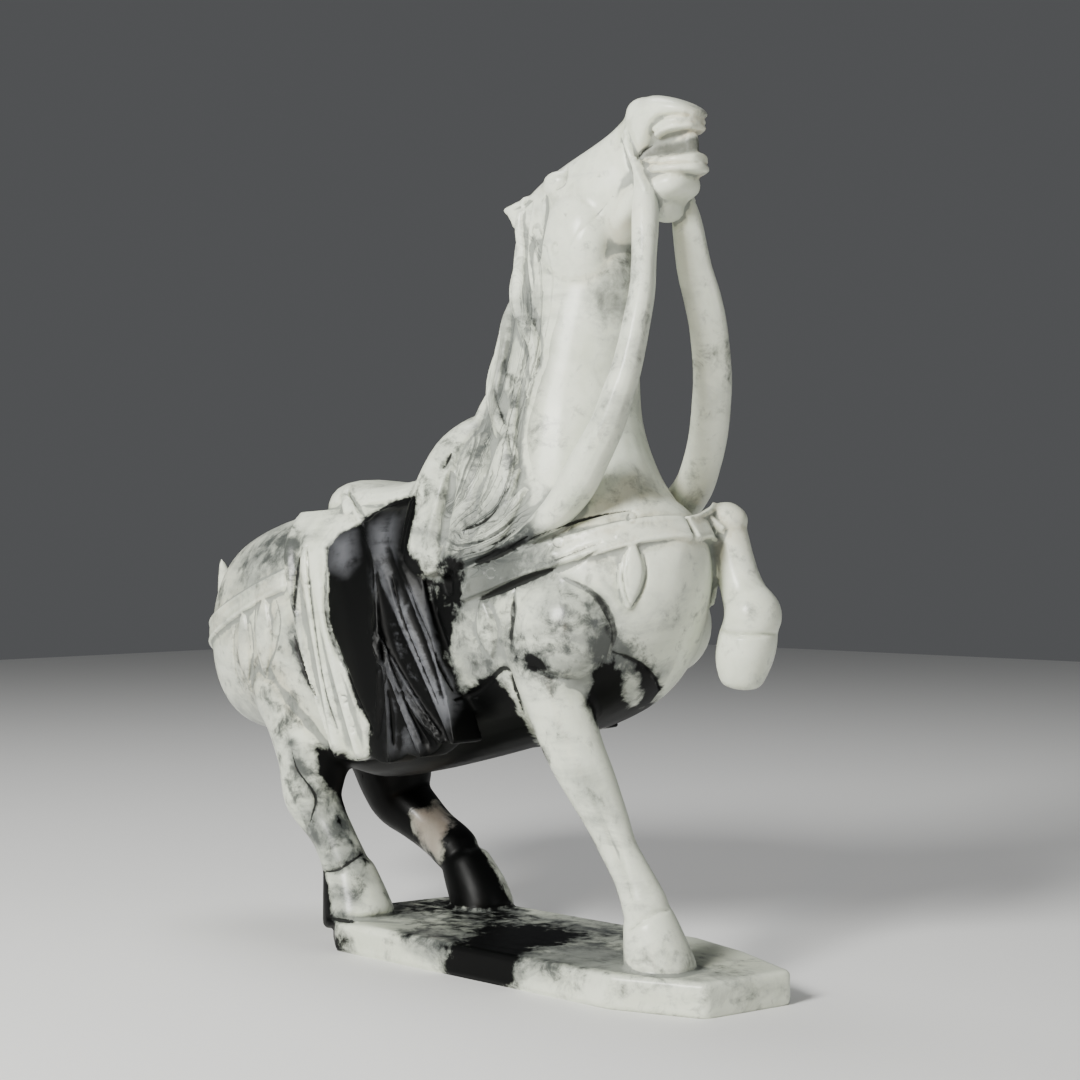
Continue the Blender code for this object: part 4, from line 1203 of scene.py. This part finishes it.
# a socket of the shader, on which sums are written as sums
class Wire:
    def __init__(self, tree, socket):
        self.tree = tree
        self.socket = socket

    def node(self, kind, settings=(), **inputs):
        made = self.tree.nodes.new(kind)
        for name, value in dict(settings).items():
            setattr(made, name, value)
        for name, value in inputs.items():
            plug = made.inputs[int(name[1:]) if name[1:].isdigit() else name]
            if isinstance(value, Wire):
                self.tree.links.new(value.socket, plug)
            else:
                plug.default_value = value
        return made

    def sum(self, operation, *others):
        terms = {f"i{place}": term for place, term in enumerate((self, *others))}
        made = self.node("ShaderNodeMath", {"operation": operation}, **terms)
        return Wire(self.tree, made.outputs[0])

    def __add__(self, other):
        return self.sum("ADD", other)

    __radd__ = __add__

    def __sub__(self, other):
        return self.sum("SUBTRACT", other)

    def __rsub__(self, other):
        return self.sum("MULTIPLY", -1.0).sum("ADD", other)

    def __mul__(self, other):
        return self.sum("MULTIPLY", other)

    def between(self, low, high):
        soft = {"interpolation_type": "SMOOTHSTEP"}
        made = self.node("ShaderNodeMapRange", soft, i0=self, i1=low, i2=high)
        return Wire(self.tree, made.outputs[0])

    def mixed(self, first, second):
        made = self.node("ShaderNodeMix", {"data_type": "RGBA"}, i0=self, i6=first, i7=second)
        return Wire(self.tree, made.outputs[2])


jadeTones = {
    "pale": (0.57, 0.61, 0.49, 1.0),
    "milk": (0.79, 0.83, 0.71, 1.0),
    "leafGreen": (0.33, 0.39, 0.26, 1.0),
    "cream": (0.60, 0.56, 0.41, 1.0),
    "ash": (0.21, 0.225, 0.205, 1.0),
    "slate": (0.045, 0.05, 0.048, 1.0),
    "ink": (0.0012, 0.0014, 0.0014, 1.0),
    # the colour of the painted sheen on the black cloth
    "smoke": (0.15, 0.155, 0.17, 1.0),
    "veil": (0.36, 0.395, 0.33, 1.0),
    # the painted shade of the mouth and throat, and the darker grey of the strap and folds
    "shadeAndDarkGrey": (0.12, 0.125, 0.105, 1.0),
    "rust": (0.20, 0.14, 0.115, 1.0),
}
jadeBody = {
    "Specular IOR Level": 0.12,
    "Coat Roughness": 0.26,
    "Subsurface Weight": 0.12,
    "Subsurface Radius": (0.9, 1.0, 0.8),
    "Subsurface Scale": 0.003,
}


# polished stone, its tones laid over one another by noise and by the fields on the skin, painted shade and
# painted sheen among them
def jadeStone():
    material = bpy.data.materials.new("polishedJade")
    material.use_nodes = True
    tree = material.node_tree
    shader = tree.nodes["Principled BSDF"]
    here = Wire(tree, tree.nodes.new("ShaderNodeTexCoord").outputs["Object"])

    def field(name):
        return Wire(tree, here.node("ShaderNodeAttribute", {"attribute_name": name}).outputs["Fac"])

    def noise(place, scale, detail, rough, bend=0.0):
        settings = {"Scale": scale, "Detail": detail, "Roughness": rough, "Distortion": bend}
        return Wire(tree, here.node("ShaderNodeTexNoise", Vector=place, **settings).outputs["Fac"])

    cloud = noise(here, 13.0, 5.0, 0.55, 0.6)
    drift = noise(here, 36.0, 6.0, 0.62, 0.8)
    fray = noise(here, 150.0, 7.0, 0.68, 0.4)
    grain = noise(here, 420.0, 4.0, 0.6)
    drawn = here.node("ShaderNodeMapping", Vector=here, Rotation=(0.0, 0.6, 0.2), Scale=(0.4, 1.0, 1.7))
    streak = noise(Wire(tree, drawn.outputs[0]), 34.0, 6.0, 0.6, 0.9)
    vein = noise(here, 20.0, 6.0, 0.6, 1.4)

    rough = fray - 0.5
    patchy = drift - 0.5

    kinds = ("black", "grey", "hair", "veinsAndGrooveShade", "hollow", "shadeAndDarkGrey")
    black, grey, hair, veinsAndGrooveShade, hollow, dim = [field(kind) for kind in kinds]

    combed = here.node("ShaderNodeCombineXYZ", X=field("strand"), Y=drift * 0.7, Z=cloud)
    hairs = noise(Wire(tree, combed.outputs[0]), 1.3, 3.0, 0.65).between(0.50, 0.62) * hair
    wisps = (1.0 - (vein - 0.5).sum("ABSOLUTE").between(0.0, 0.05)) * cloud.between(0.40, 0.62)
    veil = (cloud * 0.5 + drift * 0.5 + grey * 0.22 + rough * 0.25).between(0.46, 0.86)
    ashes = (streak + grey * 0.34 + rough * 0.45).between(0.52, 1.0)
    smoke = (drift + rough * 0.9 + grey * 0.36).between(0.74, 1.04)
    # painted shade in the hollows, standing also for residue there, and over the shade patches, laid on as
    # ash
    deep = hollow.between(0.0, 1.3)
    shadeAndDarkGrey = (deep * (0.9 + grey * 0.6) + dim * 1.1 + rough * 0.7).between(0.10, 1.0)
    rim = (black + patchy * 1.1 + rough * 1.5).between(0.02, 0.58)
    night = (black + patchy * 0.9 + rough * 1.5).between(0.42, 0.66)
    # painted sheen on the black cloth, less in the hollows
    glow = (streak + rough * 0.7 - hollow * 0.15).between(0.30, 0.66) * field("paintedSheen")
    # dark veins, and painted shade along grooves, creases and undercuts, with some residue
    veinAndShadeLines = (veinsAndGrooveShade * (0.8 + hollow.between(-0.2, 0.6) * 0.5) + rough * 0.95).between(0.28, 0.74)

    # each tone covers those before it, as far as the sum beside it says
    layers = (
        ("leafGreen", drift.between(0.50, 0.74) * 0.45),
        ("cream", (field("cream") * 1.3 + 0.14) * drift.between(0.3, 0.7)),
        ("leafGreen", field("green") * drift.between(0.2, 0.6)),
        ("ash", wisps * (0.22 + grey * 0.5)),
        # milkier away from the hollows: the lighter side of the painted shade in them
        ("milk", (rough * 0.5 + hollow * -0.4).between(0.0, 0.6)),
        ("veil", veil * 0.62),
        ("ash", ashes * 0.85),
        ("slate", smoke * 0.85),
        # painted shade: ash in the hollows and over the shade patches, then a darker tone over the patches
        ("ash", shadeAndDarkGrey * 0.85),
        ("shadeAndDarkGrey", (dim * 0.75 + rough).between(0.20, 0.90)),
        # dark lines along the hair: painted shade and dust in the grooves between hairs
        ("slate", hairs * (0.35 + grey * 0.60)),
        ("rust", field("brown") * (0.6 + drift * 0.6)),
        ("slate", rim * 0.80),
        ("ink", night),
        # painted sheen on the black cloth
        ("smoke", glow),
        ("ink", veinAndShadeLines * 0.92),
    )
    colour = (cloud + patchy * 0.9).between(0.36, 0.66).mixed(jadeTones["pale"], jadeTones["milk"])
    for tone, amount in layers:
        colour = amount.mixed(colour, jadeTones[tone])
    tree.links.new(colour.socket, shader.inputs["Base Color"])

    polish = 0.26 + fray * 0.12 + veinAndShadeLines * 0.15 + shadeAndDarkGrey * 0.12 + night * 0.12 + hair * 0.14
    tree.links.new(polish.socket, shader.inputs["Roughness"])
    height = hairs * -0.7 + fray * 0.05 + grain * 0.02
    bump = here.node("ShaderNodeBump", Height=height, Strength=0.35, Distance=0.0009)
    tree.links.new(bump.outputs["Normal"], shader.inputs["Normal"])
    shine = (1.0 - night) * (1.0 - shadeAndDarkGrey) * (1.0 - hair * 0.7) * 0.35
    tree.links.new(shine.socket, shader.inputs["Coat Weight"])
    for name, value in jadeBody.items():
        shader.inputs[name].default_value = value
    return material


horse.data.materials.clear()
horse.data.materials.append(jadeStone())
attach(horse, "root")
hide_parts("horse_carving")
print("stone finished")

studio = {
    "floorSide": 4.0,
    "floorTone": (0.80, 0.80, 0.79, 1.0),
    "floorRoughness": 0.7,
    "air": (0.80, 0.82, 0.85, 1.0),
    "airStrength": 0.11,
    # place from the aim as right, towards the camera and up; side of the light; power; tone
    "lamps": {
        "keyLamp": ((-0.75, 0.95, 0.60), 0.42, 35.0, (1.0, 1.0, 0.97)),
        "fillLamp": ((1.05, 0.60, 0.25), 0.5, 2.0, (0.96, 0.98, 1.0)),
        "topLamp": ((-0.15, -0.40, 1.10), 0.6, 6.0, (1.0, 1.0, 1.0)),
        "glintLamp": ((-0.38, 1.05, 0.05), 0.05, 0.8, (1.0, 0.62, 0.30)),
    },
}


def lightStudio():
    bpy.ops.mesh.primitive_plane_add(size=studio["floorSide"])
    floor = bpy.context.object
    floor.name = "floor"
    paint = bpy.data.materials.new("floorPaint")
    paint.use_nodes = True
    matt = paint.node_tree.nodes["Principled BSDF"]
    matt.inputs["Base Color"].default_value = studio["floorTone"]
    matt.inputs["Roughness"].default_value = studio["floorRoughness"]
    floor.data.materials.append(paint)
    for name, (offset, side, watts, tone) in studio["lamps"].items():
        lamp = bpy.data.lights.new(name, "AREA")
        lamp.shape = "DISK"
        lamp.size = side
        lamp.energy = watts
        lamp.color = tone
        holder = bpy.data.objects.new(name, lamp)
        bpy.context.scene.collection.objects.link(holder)
        across, back, rise = offset
        holder.location = photo["aim"] + photoRight * across + photoBack * back + photoUp * rise
        holder.rotation_euler = (holder.location - photo["aim"]).to_track_quat("Z", "Y").to_euler()
    world = bpy.data.worlds.new("studioAir")
    bpy.context.scene.world = world
    world.use_nodes = True
    sky = world.node_tree.nodes["Background"]
    sky.inputs["Color"].default_value = studio["air"]
    sky.inputs["Strength"].default_value = studio["airStrength"]


def setCamera():
    lens = bpy.data.cameras.new("photoCamera")
    lens.lens = photo["lens"]
    lens.sensor_width = photo["sensor"]
    holder = bpy.data.objects.new("photoCamera", lens)
    bpy.context.scene.collection.objects.link(holder)
    holder.location = photoPlace
    holder.rotation_euler = photoBack.to_track_quat("Z", "Y").to_euler()
    bpy.context.scene.camera = holder


lightStudio()
setCamera()
print("studio lit")
